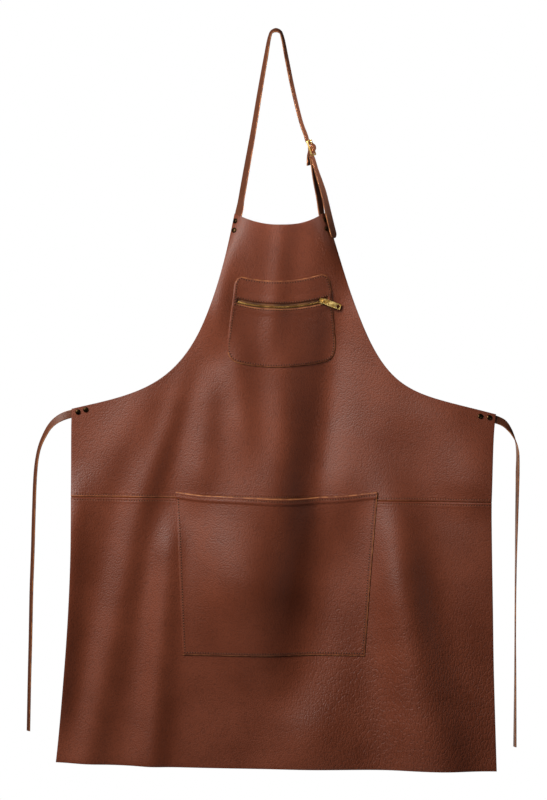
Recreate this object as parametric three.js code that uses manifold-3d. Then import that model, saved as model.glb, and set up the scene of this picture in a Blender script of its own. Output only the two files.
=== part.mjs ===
// A leather work apron that hangs by its neck strap: bib and skirt panels, two pockets, a zip, a buckle,
// rivets and two waist ties. Millimetres, +Z up, front towards -Y. The origin is under the top of the
// strap's loop, where the apron hangs.
import * as THREE from 'three';
import { mergeVertices } from 'three/addons/utils/BufferGeometryUtils.js';
import Module from 'manifold-3d';

const wasm = await Module();
wasm.setup();

// Leather, straps, the clearance between pieces that lie on each other, and the larger ones of a rivet's cap
// and of a flat strap on curved leather.
const leather = 1.6;
const strapThickness = 1.8;
const strapWidth = 15;
const tieWidth = 12;
const clearance = 0.3;
const capGap = 0.5;
const strapGap = 1.2;
const seamGap = 0.4;

// Bib: how far its top dips in the middle, and how its sides curl back below the neckline, more towards
// the edges.
const neckline = { z: -272, dip: 18, dipEnds: 1.4, leftRound: 2.2, rightTo: 0.93, rightRound: 2.6 };
const curl = { middle: 7, half: 69, widens: 0.26, back: 26, power: 4, most: 1.05, length: 165 };

// The bib's side edges turn back further beside the rivets: where each edge starts, how it slopes outwards.
const edgeCurl = {
  leftX: -62, leftSlope: 0.227, rightX: 76, rightSlope: 0.3, back: 3.5, reach: 8, length: 110,
};
const hemDip = 7.6;

// Grid of the leather: columns across, rows from the neckline to the waist corner, the seam and the hem.
const grid = { columns: 32, armhole: 15, waist: 6, skirt: 13, closerAtTop: 1.5 };

// Zip line of the chest pocket: a shallow sag between its two ends.
const zip = { middle: 3, half: 60, endZ: -406, sag: 7.5, slot: 4, tape: 8, teeth: 2.3, from: -58, to: 77 };
const zipStack = { tape: 0.6, teeth: 1.4, reach: 20, fall: 10 };

// Lower pocket: how far its mouth stands open.
const mouth = { middle: 1, half: 151, top: -691, deep: 242, open: 13 };

// Edges of the body, left and right, as three curves each: armhole, waist side and skirt side.
const at = (x, z) => new THREE.Vector2(x, z);
const edges = {
  left: [
    new THREE.CubicBezierCurve(at(-62, -273), at(-111, -531), at(-177, -537), at(-306.5, -566.5)),
    new THREE.QuadraticBezierCurve(at(-306.5, -566.5), at(-308, -600), at(-307, -698.5)),
    new THREE.QuadraticBezierCurve(at(-307, -698.5), at(-304, -868), at(-330, -1096.3)),
  ],
  right: [
    new THREE.CubicBezierCurve(at(76, -272), at(157, -557), at(172, -533), at(330, -575)),
    new THREE.QuadraticBezierCurve(at(330, -575), at(324.5, -600), at(322, -707)),
    new THREE.QuadraticBezierCurve(at(322, -707), at(323.5, -880), at(331, -1110.5)),
  ],
};

// Folds, a row each: where the crest or hollow starts and ends, its half width, how far it stands out
// towards the viewer, and the length over which it fades in and out.
const folds = [
  { topX: -58, topZ: -155, footX: -36, footZ: -455, half: 42, out: 7.4, fade: 60 }, // upper left of the bib
  { topX: 9, topZ: -455, footX: 30, footZ: -741, half: 42, out: 7.4, fade: 60 }, // middle of the bib
  { topX: 93, topZ: -394, footX: 49, footZ: -743, half: 34, out: -20, fade: 97 }, // hollow right of it
  { topX: 134, topZ: -430, footX: 106, footZ: -639, half: 42, out: -8.5, fade: 78 }, // below the right armhole
  { topX: -82, topZ: -242, footX: -90, footZ: -455, half: 28, out: 18, fade: 51 }, // left side of the bib
  { topX: -62, topZ: -455, footX: -49, footZ: -626, half: 25.5, out: 10.8, fade: 51 }, // lower on that side
  { topX: 16, topZ: -250, footX: -6, footZ: -470, half: 17, out: 4.5, fade: 45 }, // ridge in the bib's middle
  { topX: -95, topZ: -516, footX: -119, footZ: -693, half: 27, out: 7.2, fade: 43 }, // left armhole, inner
  { topX: -141, topZ: -524, footX: -187, footZ: -683, half: 17, out: 4.4, fade: 78 }, // left armhole, middle
  { topX: -180, topZ: -523, footX: -267, footZ: -691, half: 42, out: 7.7, fade: 85 }, // left armhole, outer
  { topX: -159, topZ: -742, footX: -190, footZ: -1133, half: 23, out: 10.6, fade: 46 }, // left skirt, inner
  { topX: -189, topZ: -629, footX: -295, footZ: -1153, half: 27, out: 10.6, fade: 65 }, // left skirt, outer
  { topX: -10, topZ: -620, footX: -67, footZ: -921, half: 94, out: 20, fade: 107 }, // lower pocket, left
  { topX: 78, topZ: -742, footX: 25, footZ: -1047, half: 54, out: -20, fade: 87 }, // lower pocket, hollow
  { topX: 172, topZ: -691, footX: 264, footZ: -1162, half: 40, out: 19.8, fade: 75 }, // right skirt
  { topX: 270, topZ: -705, footX: 276, footZ: -1117, half: 54, out: 7.8, fade: 90 }, // right skirt, outer
  { topX: 97, topZ: -800, footX: 38, footZ: -1126, half: 50, out: 4.4, fade: 97 }, // lower pocket, right
  { topX: -304, topZ: -697, footX: -332, footZ: -1022, half: 23.5, out: 15, fade: 60 }, // left edge of the skirt
  { topX: 240, topZ: -554, footX: 301, footZ: -707, half: 58, out: 10.6, fade: 35 }, // right waist
  { topX: 310, topZ: -610, footX: 358, footZ: -913, half: 64, out: 15, fade: 60 }, // right edge of the skirt
  { topX: -50, topZ: -779, footX: 59, footZ: -1097, half: 69, out: 18.9, fade: 71 }, // below the lower pocket
  { topX: 39, topZ: -434, footX: 30, footZ: -712, half: 21, out: -3.6, fade: 61 }, // below the chest pocket
  { topX: -273, topZ: -695, footX: -340, footZ: -1106, half: 34, out: 6.2, fade: 55 }, // left skirt, at its edge
  { topX: 171, topZ: -785, footX: 210, footZ: -1117, half: 37, out: 20, fade: 83 }, // right of the lower pocket
];

// Outline of the chest pocket: each row is a point and the bend of the line that leads to it.
const chestPocketOutline = [
  { x: -52, z: -369, bendX: -61, bendZ: -370 }, // top left corner
  { x: 66, z: -365, bendX: 8, bendZ: -383 }, // sagging top edge
  { x: 82, z: -382, bendX: 79, bendZ: -363 }, // top right corner
  { x: 90, z: -466, bendX: 86, bendZ: -424 }, // right side
  { x: 72, z: -496, bendX: 91, bendZ: -494 }, // bottom right corner
  { x: -54, z: -499, bendX: 4, bendZ: -512 }, // bottom edge
  { x: -73, z: -468, bendX: -75, bendZ: -495 }, // bottom left corner
  { x: -63, z: -384, bendX: -69, bendZ: -426 }, // left side
];

// Outline of the lower pocket, in the same form.
const lowerPocketOutline = [
  { x: -150, z: -691, bendX: -145, bendZ: -813 }, // left side, from the bottom up
  { x: 152.5, z: -691.5, bendX: 0, bendZ: -710 }, // sagging mouth
  { x: 133, z: -937, bendX: 143, bendZ: -814 }, // right side
  { x: -139.5, z: -935, bendX: -3, bendZ: -937 }, // bottom
];

// Rivets: place on the leather.
const rivet = { cap: 4, dome: 1.7, post: 1.2, hole: 1.6, back: 3.4, backHeight: 0.9, sides: 10 };
const rivetPlaces = [
  { name: 'rivet_bib_left_1', x: -60.5, z: -285 },
  { name: 'rivet_bib_left_2', x: -62.3, z: -299 },
  { name: 'rivet_bib_right_1', x: 73, z: -282 },
  { name: 'rivet_bib_right_2', x: 75.3, z: -296 },
  { name: 'rivet_waist_left_1', x: -297, z: -571.4 },
  { name: 'rivet_waist_left_2', x: -285.3, z: -568 },
  { name: 'rivet_waist_right_1', x: 306, z: -578.2 },
  { name: 'rivet_waist_right_2', x: 319.7, z: -580 },
];

// Buckle: its place, the way the strap runs down through it, the way its face looks, and its bars.
const buckle = { width: 20, height: 25, bar: 2, corner: 3.5, bevel: 0.5, slot: 1.6 };
const buckleAt = new THREE.Vector3(53.2, 18.5, -173.5);
const buckleDown = new THREE.Vector3(0.3, 0.05, -0.95).normalize();
const buckleFace = new THREE.Vector3(0.94, -0.34, 0);

// Slider and pull of the zip: the pull's bar lies under the slider's bridge.
const slider = {
  x: 69, length: 11, width: 9.5, plate: 1.4, lift: 0.7, bridge: 3.8, bridgeHole: 2.6, bridgeWide: 1.6,
};
const pull = {
  length: 29, width: 9, thick: 1.4, bar: 1.5, window: 4.8, windowLong: 5.5, hole: 2.4, holeAt: 24.6,
};
const pullBarHeight = 1.35;
const pullDroop = THREE.MathUtils.degToRad(20);

const finish = (color, roughness, metalness) => new THREE.MeshStandardMaterial({ color, roughness, metalness });
const brownLeather = () => finish('#6e3a26', 0.55, 0);
const polishedBrass = () => finish('#c9a94f', 0.3, 1);

const apron = new THREE.Group();

function smooth(t) {
  return THREE.MathUtils.smoothstep(t, 0, 1);
}

// How far the leather stands out towards the viewer at a place on the front.
function standOut(x, z) {
  const below = neckline.z - z;
  const half = curl.half + curl.widens * Math.max(0, below);
  const aside = Math.min(curl.most, Math.abs(x - curl.middle) / half);
  let out = -curl.back * smooth(1 - below / curl.length) * aside ** curl.power;
  const fromLeft = x - edgeCurl.leftX + edgeCurl.leftSlope * below;
  const fromRight = edgeCurl.rightX + edgeCurl.rightSlope * below - x;
  const turned = Math.exp(-fromLeft / edgeCurl.reach) + Math.exp(-fromRight / edgeCurl.reach);
  out -= edgeCurl.back * turned * smooth(1 - below / edgeCurl.length);
  for (const fold of folds) {
    const along = (z - fold.topZ) / (fold.footZ - fold.topZ);
    const crest = THREE.MathUtils.lerp(fold.topX, fold.footX, along);
    const starts = smooth((fold.topZ + fold.fade - z) / (2 * fold.fade));
    const ends = smooth((z - fold.footZ + fold.fade) / (2 * fold.fade));
    out += fold.out * Math.exp(-(((x - crest) / fold.half) ** 2)) * starts * ends;
  }
  return out;
}

// The way the leather faces there.
function facing(x, z) {
  const step = 0.5;
  const slopeX = (standOut(x + step, z) - standOut(x - step, z)) / (2 * step);
  const slopeZ = (standOut(x, z + step) - standOut(x, z - step)) / (2 * step);
  return new THREE.Vector3(-slopeX, -1, -slopeZ).normalize();
}

// A point over the leather's middle: lift is positive in front of it and negative behind it.
function overLeather(x, z, lift) {
  return new THREE.Vector3(x, -standOut(x, z), z).addScaledVector(facing(x, z), lift);
}

// A place on the body's grid: across from 0 to 1, row from 0 at the neckline to 3 at the hem.
function gridPlace(across, row) {
  const stretch = Math.min(Math.floor(row), 2);
  const left = edges.left[stretch].getPoint(row - stretch);
  const right = edges.right[stretch].getPoint(row - stretch);
  const place = left.lerp(right, across);
  const dip = neckline.dip * Math.max(0, 1 - row / neckline.dipEnds);
  const fromMiddle = Math.abs(2 * across - 1);
  const rightRise = Math.min(1, fromMiddle / neckline.rightTo) ** neckline.rightRound;
  place.y -= dip * (1 - (across < 0.5 ? fromMiddle ** neckline.leftRound : rightRise));
  const hem = Math.max(0, row - 2) ** 2;
  place.y -= hemDip * hem * (1 - across) * Math.sin(Math.PI * across);
  return place;
}

function steps(from, to, count) {
  return Array.from({ length: count + 1 }, (_, i) => THREE.MathUtils.lerp(from, to, i / count));
}

const columns = steps(0, 1, grid.columns);
const armholeRows = steps(0, 1, grid.armhole).map((row) => row ** grid.closerAtTop);
const bibRows = [...armholeRows, ...steps(1, 2, grid.waist).slice(1)];
const skirtRows = steps(2, 3, grid.skirt);

// A closed slab: a box whose corners are moved to where place(across, down, front) says. Its front is cut into
// triangles along the same diagonals as its back, so that sheets that lie on each other keep their gap.
function slab(acrossSteps, downSteps, place) {
  const box = new THREE.BoxGeometry(1, 1, 1, acrossSteps, 1, downSteps);
  const index = box.getIndex();
  const front = box.groups[3];
  for (let i = front.start; i < front.start + front.count; i += 6) {
    const [a, b, c, d] = [index.getX(i), index.getX(i + 1), index.getX(i + 4), index.getX(i + 2)];
    [a, b, c, a, c, d].forEach((corner, k) => index.setX(i + k, corner));
  }
  const corners = box.getAttribute('position');
  const corner = new THREE.Vector3();
  for (let i = 0; i < corners.count; i++) {
    corner.fromBufferAttribute(corners, i);
    const point = place(corner.x + 0.5, 0.5 - corner.z, 0.5 - corner.y);
    corners.setXYZ(i, point.x, point.y, point.z);
  }
  return box;
}

// A sheet over the given columns and rows of the grid, between two lifts over the leather.
function gridSheet(sheetColumns, sheetRows, backLift, frontLift, shift = 0) {
  return slab(sheetColumns.length - 1, sheetRows.length - 1, (across, down, front) => {
    const column = sheetColumns[Math.round(across * (sheetColumns.length - 1))];
    const row = sheetRows[Math.round(down * (sheetRows.length - 1))];
    const place = gridPlace(column, row);
    const z = row === 2 ? place.y - shift : place.y;
    const lift = front > 0.5 ? frontLift(place.x, z) : backLift(place.x, z);
    return overLeather(place.x, z, lift);
  });
}

// Booleans: a geometry becomes a solid, and a solid a geometry.
function toSolid(geometry) {
  const bare = geometry.clone();
  bare.deleteAttribute('normal');
  bare.deleteAttribute('uv');
  const merged = mergeVertices(bare);
  const vertProperties = new Float32Array(merged.getAttribute('position').array);
  const triVerts = new Uint32Array(merged.getIndex().array);
  return new wasm.Manifold(new wasm.Mesh({ numProp: 3, vertProperties, triVerts }));
}

function toGeometry(solid) {
  const mesh = solid.getMesh();
  const geometry = new THREE.BufferGeometry();
  geometry.setAttribute('position', new THREE.BufferAttribute(mesh.vertProperties, 3));
  geometry.setIndex(new THREE.BufferAttribute(mesh.triVerts, 1));
  geometry.computeVertexNormals();
  return geometry;
}

function addPiece(name, geometry, material, parent = apron) {
  const piece = new THREE.Mesh(geometry, material);
  piece.name = name;
  parent.add(piece);
}

// A block that cuts straight through from front to back inside an outline in the X-Z plane.
function throughCut(shape) {
  const depth = 300;
  const cut = new THREE.ExtrudeGeometry(shape, { depth, bevelEnabled: false, curveSegments: 6 });
  cut.rotateX(Math.PI / 2);
  cut.translate(0, depth / 2, 0);
  return toSolid(cut);
}

function bentOutline(rows) {
  const shape = new THREE.Shape();
  const last = rows[rows.length - 1];
  shape.moveTo(last.x, last.z);
  for (const row of rows) {
    shape.quadraticCurveTo(row.bendX, row.bendZ, row.x, row.z);
  }
  return shape;
}

// Zip line and a strip of a given half height along it.
function zipZ(x) {
  return zip.endZ - zip.sag * (1 - ((x - zip.middle) / zip.half) ** 2);
}

function zipStrip(half, from, to) {
  const xs = steps(from, to, 12);
  const upper = xs.map((x) => at(x, zipZ(x) + half));
  const lower = xs.map((x) => at(x, zipZ(x) - half)).reverse();
  return new THREE.Shape([...upper, ...lower]);
}

// A strap along a route: each row has a place and the way its width points, as a turn from +Y towards +X
// and a tilt up, in degrees.
function ribbon(route, width, thickness, stepsPerRow, roundEnd = false) {
  const places = new THREE.CatmullRomCurve3(route.map((row) => row.place), false, 'centripetal');
  const widths = new THREE.CatmullRomCurve3(route.map((row) => row.width));
  const count = (route.length - 1) * stepsPerRow;
  const tip = places.getPoint(1);
  return slab(1, count, (across, down, front) => {
    const centre = places.getPoint(down);
    const along = places.getTangent(down);
    const side = widths.getPoint(down);
    side.addScaledVector(along, -side.dot(along)).normalize();
    const face = along.clone().cross(side);
    const toTip = roundEnd ? Math.min(1, centre.distanceTo(tip) / (width / 2)) : 1;
    const half = Math.max(0.3, Math.sqrt(1 - (1 - toTip) ** 2)) * (width / 2);
    centre.addScaledVector(side, (2 * across - 1) * half);
    return centre.addScaledVector(face, (front - 0.5) * thickness);
  });
}

function widthWay(turn, tilt) {
  const turned = THREE.MathUtils.degToRad(turn);
  const tilted = THREE.MathUtils.degToRad(tilt);
  const level = Math.cos(tilted);
  return new THREE.Vector3(Math.sin(turned) * level, Math.cos(turned) * level, Math.sin(tilted));
}

function freeRow({ x, y, z, turn, tilt }) {
  return { place: new THREE.Vector3(x, y, z), width: widthWay(turn, tilt) };
}

// A row of a strap that lies against the back of the leather.
const behindLift = -(leather / 2 + strapGap + strapThickness / 2);
function behindRow({ x, z, turn, tilt }) {
  const width = widthWay(turn, tilt);
  const face = facing(x, z);
  width.addScaledVector(face, -width.dot(face)).normalize();
  return { place: overLeather(x, z, behindLift), width };
}

// The buckle's own axes: across its width, out of its face and down the strap.
buckleFace.addScaledVector(buckleDown, -buckleFace.dot(buckleDown)).normalize();
const buckleAcross = buckleFace.clone().cross(buckleDown);

function buckleRow({ out, down }, side) {
  const place = buckleAt.clone().addScaledVector(buckleFace, out).addScaledVector(buckleDown, down);
  return { place, width: buckleAcross.clone().multiplyScalar(side) };
}

function buckleGroup() {
  const group = new THREE.Group();
  const axes = new THREE.Matrix4();
  axes.makeBasis(buckleAcross, buckleFace.clone().negate(), buckleDown.clone().negate());
  group.quaternion.setFromRotationMatrix(axes);
  group.position.copy(buckleAt);
  group.updateMatrix();
  return group;
}

// A block in the buckle's axes, to cut the slots that the prong passes through.
function buckleBlock(width, outFrom, outTo, downFrom, downTo) {
  const block = new THREE.BoxGeometry(width, outTo - outFrom, downTo - downFrom);
  block.translate(0, -(outFrom + outTo) / 2, -(downFrom + downTo) / 2);
  block.applyMatrix4(buckleGroup().matrix);
  return toSolid(block);
}

// Bib and skirt, with holes for the rivets' posts.
const halfLeather = leather / 2;
const backOfLeather = () => -halfLeather;
const frontOfLeather = () => halfLeather;

function rivetAxis(place) {
  const axis = new THREE.Group();
  axis.position.copy(overLeather(place.x, place.z, 0));
  axis.quaternion.setFromUnitVectors(new THREE.Vector3(0, 1, 0), facing(place.x, place.z));
  axis.updateMatrix();
  return axis;
}

const rivetHoles = rivetPlaces.map((place) => {
  const hole = new THREE.CylinderGeometry(rivet.hole, rivet.hole, 14, rivet.sides);
  hole.applyMatrix4(rivetAxis(place).matrix);
  return toSolid(hole);
});

function punched(geometry) {
  return rivetHoles.reduce((solid, hole) => solid.subtract(hole), toSolid(geometry));
}

function makeBody() {
  const bib = gridSheet(columns, bibRows, backOfLeather, frontOfLeather);
  const skirt = gridSheet(columns, skirtRows, backOfLeather, frontOfLeather, seamGap);
  addPiece('bib', toGeometry(punched(bib)), brownLeather());
  addPiece('skirt', skirt, brownLeather());
}

// Chest pocket over the zip's tape and teeth, on the bib's own grid.
function makeChestPocket() {
  const onFront = halfLeather + clearance;
  const tapeTop = onFront + zipStack.tape;
  const teethTop = tapeTop + clearance + zipStack.teeth;
  const chestColumns = columns.filter((across) => across > 0.05 && across < 0.95);
  const chestRows = bibRows.filter((row) => row > 0.1 && row < 0.8);
  const pocketBack = (x, z) => {
    const beside = zip.tape + zipStack.reach + zipStack.fall - Math.abs(z - zipZ(x));
    const beyond = zip.half + zipStack.reach + zipStack.fall - Math.abs(x - zip.middle);
    const raised = smooth(beside / zipStack.fall) * smooth(beyond / zipStack.fall);
    return onFront + (zipStack.tape + clearance) * raised;
  };
  const pocketFront = (x, z) => pocketBack(x, z) + leather;
  const chestLayer = (back, front, shape) => {
    const layer = gridSheet(chestColumns, chestRows, back, front);
    return toSolid(layer).intersect(throughCut(shape));
  };
  const slot = throughCut(zipStrip(zip.slot, zip.from, zip.to));
  const patch = chestLayer(pocketBack, pocketFront, bentOutline(chestPocketOutline)).subtract(slot);
  const tapeShape = zipStrip(zip.tape, zip.from - 3, zip.to + 1);
  const tape = chestLayer(() => onFront, () => tapeTop, tapeShape);
  const teethShape = zipStrip(zip.teeth, zip.from + 1, slider.x - slider.length / 2 + 1);
  const teeth = chestLayer(() => tapeTop + clearance, () => teethTop, teethShape);
  addPiece('chest_pocket', toGeometry(patch), brownLeather());
  addPiece('zip_tape', toGeometry(tape), finish('#5a4630', 0.9, 0));
  addPiece('zip_teeth', toGeometry(teeth), polishedBrass());
}

function extruded(shape, depth, curveSegments = 6) {
  const solid = new THREE.ExtrudeGeometry(shape, { depth, bevelEnabled: false, curveSegments });
  solid.rotateX(Math.PI / 2);
  return solid;
}

function roundedRectangle(path, x0, z0, x1, z1, r) {
  path.moveTo(x0 + r, z0);
  path.absarc(x1 - r, z0 + r, r, -Math.PI / 2, 0);
  path.absarc(x1 - r, z1 - r, r, 0, Math.PI / 2);
  path.absarc(x0 + r, z1 - r, r, Math.PI / 2, Math.PI);
  path.absarc(x0 + r, z0 + r, r, Math.PI, Math.PI * 1.5);
  return path;
}

// Slider at the zip's right end, with a stem in the slot, a plate over it and a bridge for the pull.
function makeSlider() {
  const group = new THREE.Group();
  const surface = halfLeather + 2 * clearance + zipStack.tape + leather;
  const z = zipZ(slider.x);
  const face = facing(slider.x, z);
  const right = new THREE.Vector3(1, 0, 0).addScaledVector(face, -face.x).normalize();
  const up = right.clone().cross(face.clone().negate());
  const axes = new THREE.Matrix4().makeBasis(right, face.clone().negate(), up);
  group.quaternion.setFromRotationMatrix(axes);
  group.position.copy(overLeather(slider.x, z, surface));
  apron.add(group);

  const plateTop = slider.lift + slider.plate;
  const plateShape = new THREE.Shape();
  const halfLong = slider.length / 2;
  const halfWide = slider.width / 2;
  roundedRectangle(plateShape, -halfLong, -halfWide, halfLong, halfWide, 3);
  const plate = extruded(plateShape, slider.plate).translate(0, -slider.lift, 0);
  const stemDeep = slider.lift + leather - clearance;
  const stem = new THREE.BoxGeometry(4.5, stemDeep + 0.5, 4);
  stem.translate(0.4 * halfLong, stemDeep / 2 - slider.lift - 0.25, 0);
  const arch = new THREE.Shape();
  arch.absarc(0, 0, slider.bridge, 0, Math.PI);
  arch.absarc(0, 0, slider.bridgeHole, Math.PI, 0, true);
  const bridge = new THREE.ExtrudeGeometry(arch, {
    depth: slider.bridgeWide,
    bevelEnabled: false,
    curveSegments: 8,
  });
  bridge.translate(0, 0, -slider.bridgeWide / 2);
  bridge.rotateX(Math.PI);
  bridge.translate(0, 0.2 - plateTop, 0);
  const body = toSolid(plate).add(toSolid(stem)).add(toSolid(bridge));
  addPiece('zip_slider', toGeometry(body), polishedBrass(), group);

  const halfPull = pull.width / 2;
  const halfWindow = pull.window / 2;
  const pullShape = new THREE.Shape();
  roundedRectangle(pullShape, -pull.bar / 2, -halfPull, pull.length, halfPull, 1.2);
  const window = new THREE.Path();
  roundedRectangle(window, pull.bar / 2, -halfWindow, pull.bar / 2 + pull.windowLong, halfWindow, 0.6);
  const hole = new THREE.Path();
  hole.absarc(pull.holeAt, 0, pull.hole, 0, Math.PI * 2, true);
  pullShape.holes.push(window, hole);
  const tab = extruded(pullShape, pull.thick, 4).translate(0, pull.thick / 2, 0);
  const hinge = new THREE.Group();
  hinge.position.set(0, -(plateTop + pullBarHeight), 0);
  hinge.rotation.y = pullDroop;
  group.add(hinge);
  addPiece('zip_pull', tab, polishedBrass(), hinge);
}

// Lower pocket: tight at its stitched sides and bottom, open at the mouth.
function makeLowerPocket() {
  const pocketRows = [...bibRows.slice(-3, -1), ...skirtRows.filter((row) => row < 2.7)];
  const pocketColumns = columns.filter((across) => across > 0.2 && across < 0.8);
  const back = (x, z) => {
    const across = Math.max(0, 1 - ((x - mouth.middle) / mouth.half) ** 2);
    const rise = THREE.MathUtils.clamp(1 + (z - mouth.top) / mouth.deep, 0, 1);
    return halfLeather + clearance + mouth.open * smooth(across) * smooth(rise);
  };
  const front = (x, z) => back(x, z) + leather;
  const layer = gridSheet(pocketColumns, pocketRows, back, front);
  const patch = toSolid(layer).intersect(throughCut(bentOutline(lowerPocketOutline)));
  addPiece('lower_pocket', toGeometry(patch), brownLeather());
}

// Neck strap: from behind the left corner of the bib, over the peg, through the buckle to its loose tongue.
function makeNeckStrap() {
  const corner = [
    { x: -64.3, z: -313, turn: -35, tilt: 0 },
    { x: -62.3, z: -299, turn: -33, tilt: 0 },
    { x: -60.5, z: -285, turn: -33, tilt: 0 },
    { x: -58.5, z: -275, turn: -34, tilt: 0 },
  ];
  const loop = [
    { x: -53, y: 26.5, z: -255, turn: -37, tilt: 0 },
    { x: -45, y: 21.8, z: -210, turn: -35, tilt: 0 },
    { x: -34, y: 15.5, z: -149, turn: -30, tilt: 0 },
    { x: -24, y: 9.3, z: -89, turn: -26, tilt: 0 },
    { x: -15, y: 4, z: -38, turn: -22, tilt: 0 },
    { x: -9.6, y: 0.8, z: -9, turn: -15, tilt: 8 },
    { x: -6.6, y: 0, z: -1.6, turn: -8, tilt: 20 },
    { x: 0, y: 0, z: 1.2, turn: 0, tilt: 28 },
    { x: 6.6, y: 0, z: -1.6, turn: 8, tilt: 20 },
    { x: 9.6, y: 0.8, z: -9, turn: 15, tilt: 8 },
    { x: 15.5, y: 4, z: -38, turn: 20, tilt: 0 },
    { x: 26, y: 9, z: -89, turn: 21, tilt: 0 },
    { x: 38.5, y: 14, z: -138, turn: 20, tilt: 0 },
  ];
  const throughBuckle = [
    { out: -2.5, down: -20 },
    { out: -2.5, down: -10.6 },
    { out: 0, down: -7.2 },
    { out: 3.7, down: -2.9 },
    { out: 4.4, down: 0 },
    { out: 3.5, down: 3.2 },
    { out: 0.6, down: 6.2 },
    { out: -2.6, down: 10.4 },
    { out: -2.6, down: 18 },
  ];
  const tongue = [
    { x: 60.4, y: 18, z: -206, turn: 24, tilt: 0 },
    { x: 65.2, y: 17.5, z: -221, turn: 30, tilt: 0 },
    { x: 71, y: 18, z: -239, turn: 34, tilt: 0 },
    { x: 76, y: 19.5, z: -260, turn: 37, tilt: 0 },
    { x: 82, y: 21.5, z: -285, turn: 38, tilt: 0 },
    { x: 86, y: 22.5, z: -301, turn: 38, tilt: 0 },
    { x: 87.2, y: 22.8, z: -306, turn: 38, tilt: 0 },
    { x: 88, y: 23, z: -309.5, turn: 38, tilt: 0 },
  ];
  const route = [
    ...corner.map(behindRow),
    ...loop.map(freeRow),
    ...throughBuckle.map((row) => buckleRow(row, 1)),
    ...tongue.map(freeRow),
  ];
  const prongHole = buckleBlock(2 * buckle.slot, -1.4, 4.6, -8.2, -1.2);
  const strap = punched(ribbon(route, strapWidth, strapThickness, 2, true)).subtract(prongHole);
  addPiece('neck_strap', toGeometry(strap), brownLeather());
}

// Buckle strap: from behind the right corner of the bib up to the middle bar, round it and back down.
function makeBuckleStrap() {
  const corner = [
    { x: 77, z: -309, turn: -148, tilt: 0 },
    { x: 75.3, z: -296, turn: -148, tilt: 0 },
    { x: 73, z: -282, turn: -146, tilt: 0 },
    { x: 71, z: -273, turn: -144, tilt: 0 },
  ];
  const rise = [
    { x: 65.3, y: 25, z: -250, turn: -145, tilt: 0 },
    { x: 58.8, y: 22, z: -219, turn: -152, tilt: 0 },
  ];
  const roundBar = [
    { out: -4.75, down: 18 },
    { out: -4.6, down: 10 },
    { out: -1.1, down: 4.8 },
    { out: 2, down: 1.6 },
    { out: 2.2, down: -0.4 },
    { out: 1.5, down: -1.7 },
    { out: 0, down: -2.25 },
    { out: -1.5, down: -1.7 },
    { out: -2.2, down: 0 },
    { out: -3.2, down: 3.2 },
    { out: -6.9, down: 9.4 },
    { out: -9.6, down: 16 },
    { out: -12.5, down: 24 },
  ];
  const route = [
    ...corner.map(behindRow),
    ...rise.map(freeRow),
    ...roundBar.map((row) => buckleRow(row, -1)),
  ];
  const prongSlot = buckleBlock(2 * buckle.slot, -4.5, 4.5, -4.5, 4.2);
  const strap = punched(ribbon(route, strapWidth, strapThickness, 2)).subtract(prongSlot);
  addPiece('buckle_strap', toGeometry(strap), brownLeather());
}

// Buckle frame with its middle bar, and the prong that curls round that bar.
function makeBuckle() {
  const group = buckleGroup();
  apron.add(group);
  const halfWide = buckle.width / 2 - buckle.bevel;
  const halfHigh = buckle.height / 2 - buckle.bevel;
  const inside = halfWide - buckle.bar + 2 * buckle.bevel;
  const bar = buckle.bar / 2 - buckle.bevel;
  const frame = roundedRectangle(new THREE.Shape(), -halfWide, -halfHigh, halfWide, halfHigh, buckle.corner);
  for (const way of [-1, 1]) {
    const far = halfHigh - buckle.bar + 2 * buckle.bevel;
    const [low, high] = way > 0 ? [bar, far] : [-far, -bar];
    frame.holes.push(roundedRectangle(new THREE.Path(), -inside, low, inside, high, 1));
  }
  const bars = new THREE.ExtrudeGeometry(frame, {
    depth: buckle.bar - 2 * buckle.bevel,
    bevelEnabled: true,
    bevelThickness: buckle.bevel,
    bevelSize: buckle.bevel,
    bevelSegments: 1,
    curveSegments: 4,
  });
  bars.translate(0, 0, -(buckle.bar / 2 - buckle.bevel));
  bars.rotateX(Math.PI / 2);
  addPiece('buckle_frame', toGeometry(toSolid(bars)), polishedBrass(), group);

  const prongRows = [
    { out: 2.3, down: -13 },
    { out: 2.25, down: -8 },
    { out: 2.15, down: -3 },
    { out: 2.1, down: 0 },
    { out: 1.5, down: 1.5 },
    { out: 0, down: 2.1 },
    { out: -1.5, down: 1.5 },
    { out: -2.1, down: 0 },
    { out: -1.8, down: -1.1 },
  ];
  const prong = ribbon(prongRows.map((row) => buckleRow(row, 1)), 2, 1.6, 2);
  addPiece('buckle_prong', prong, polishedBrass());
}

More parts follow.
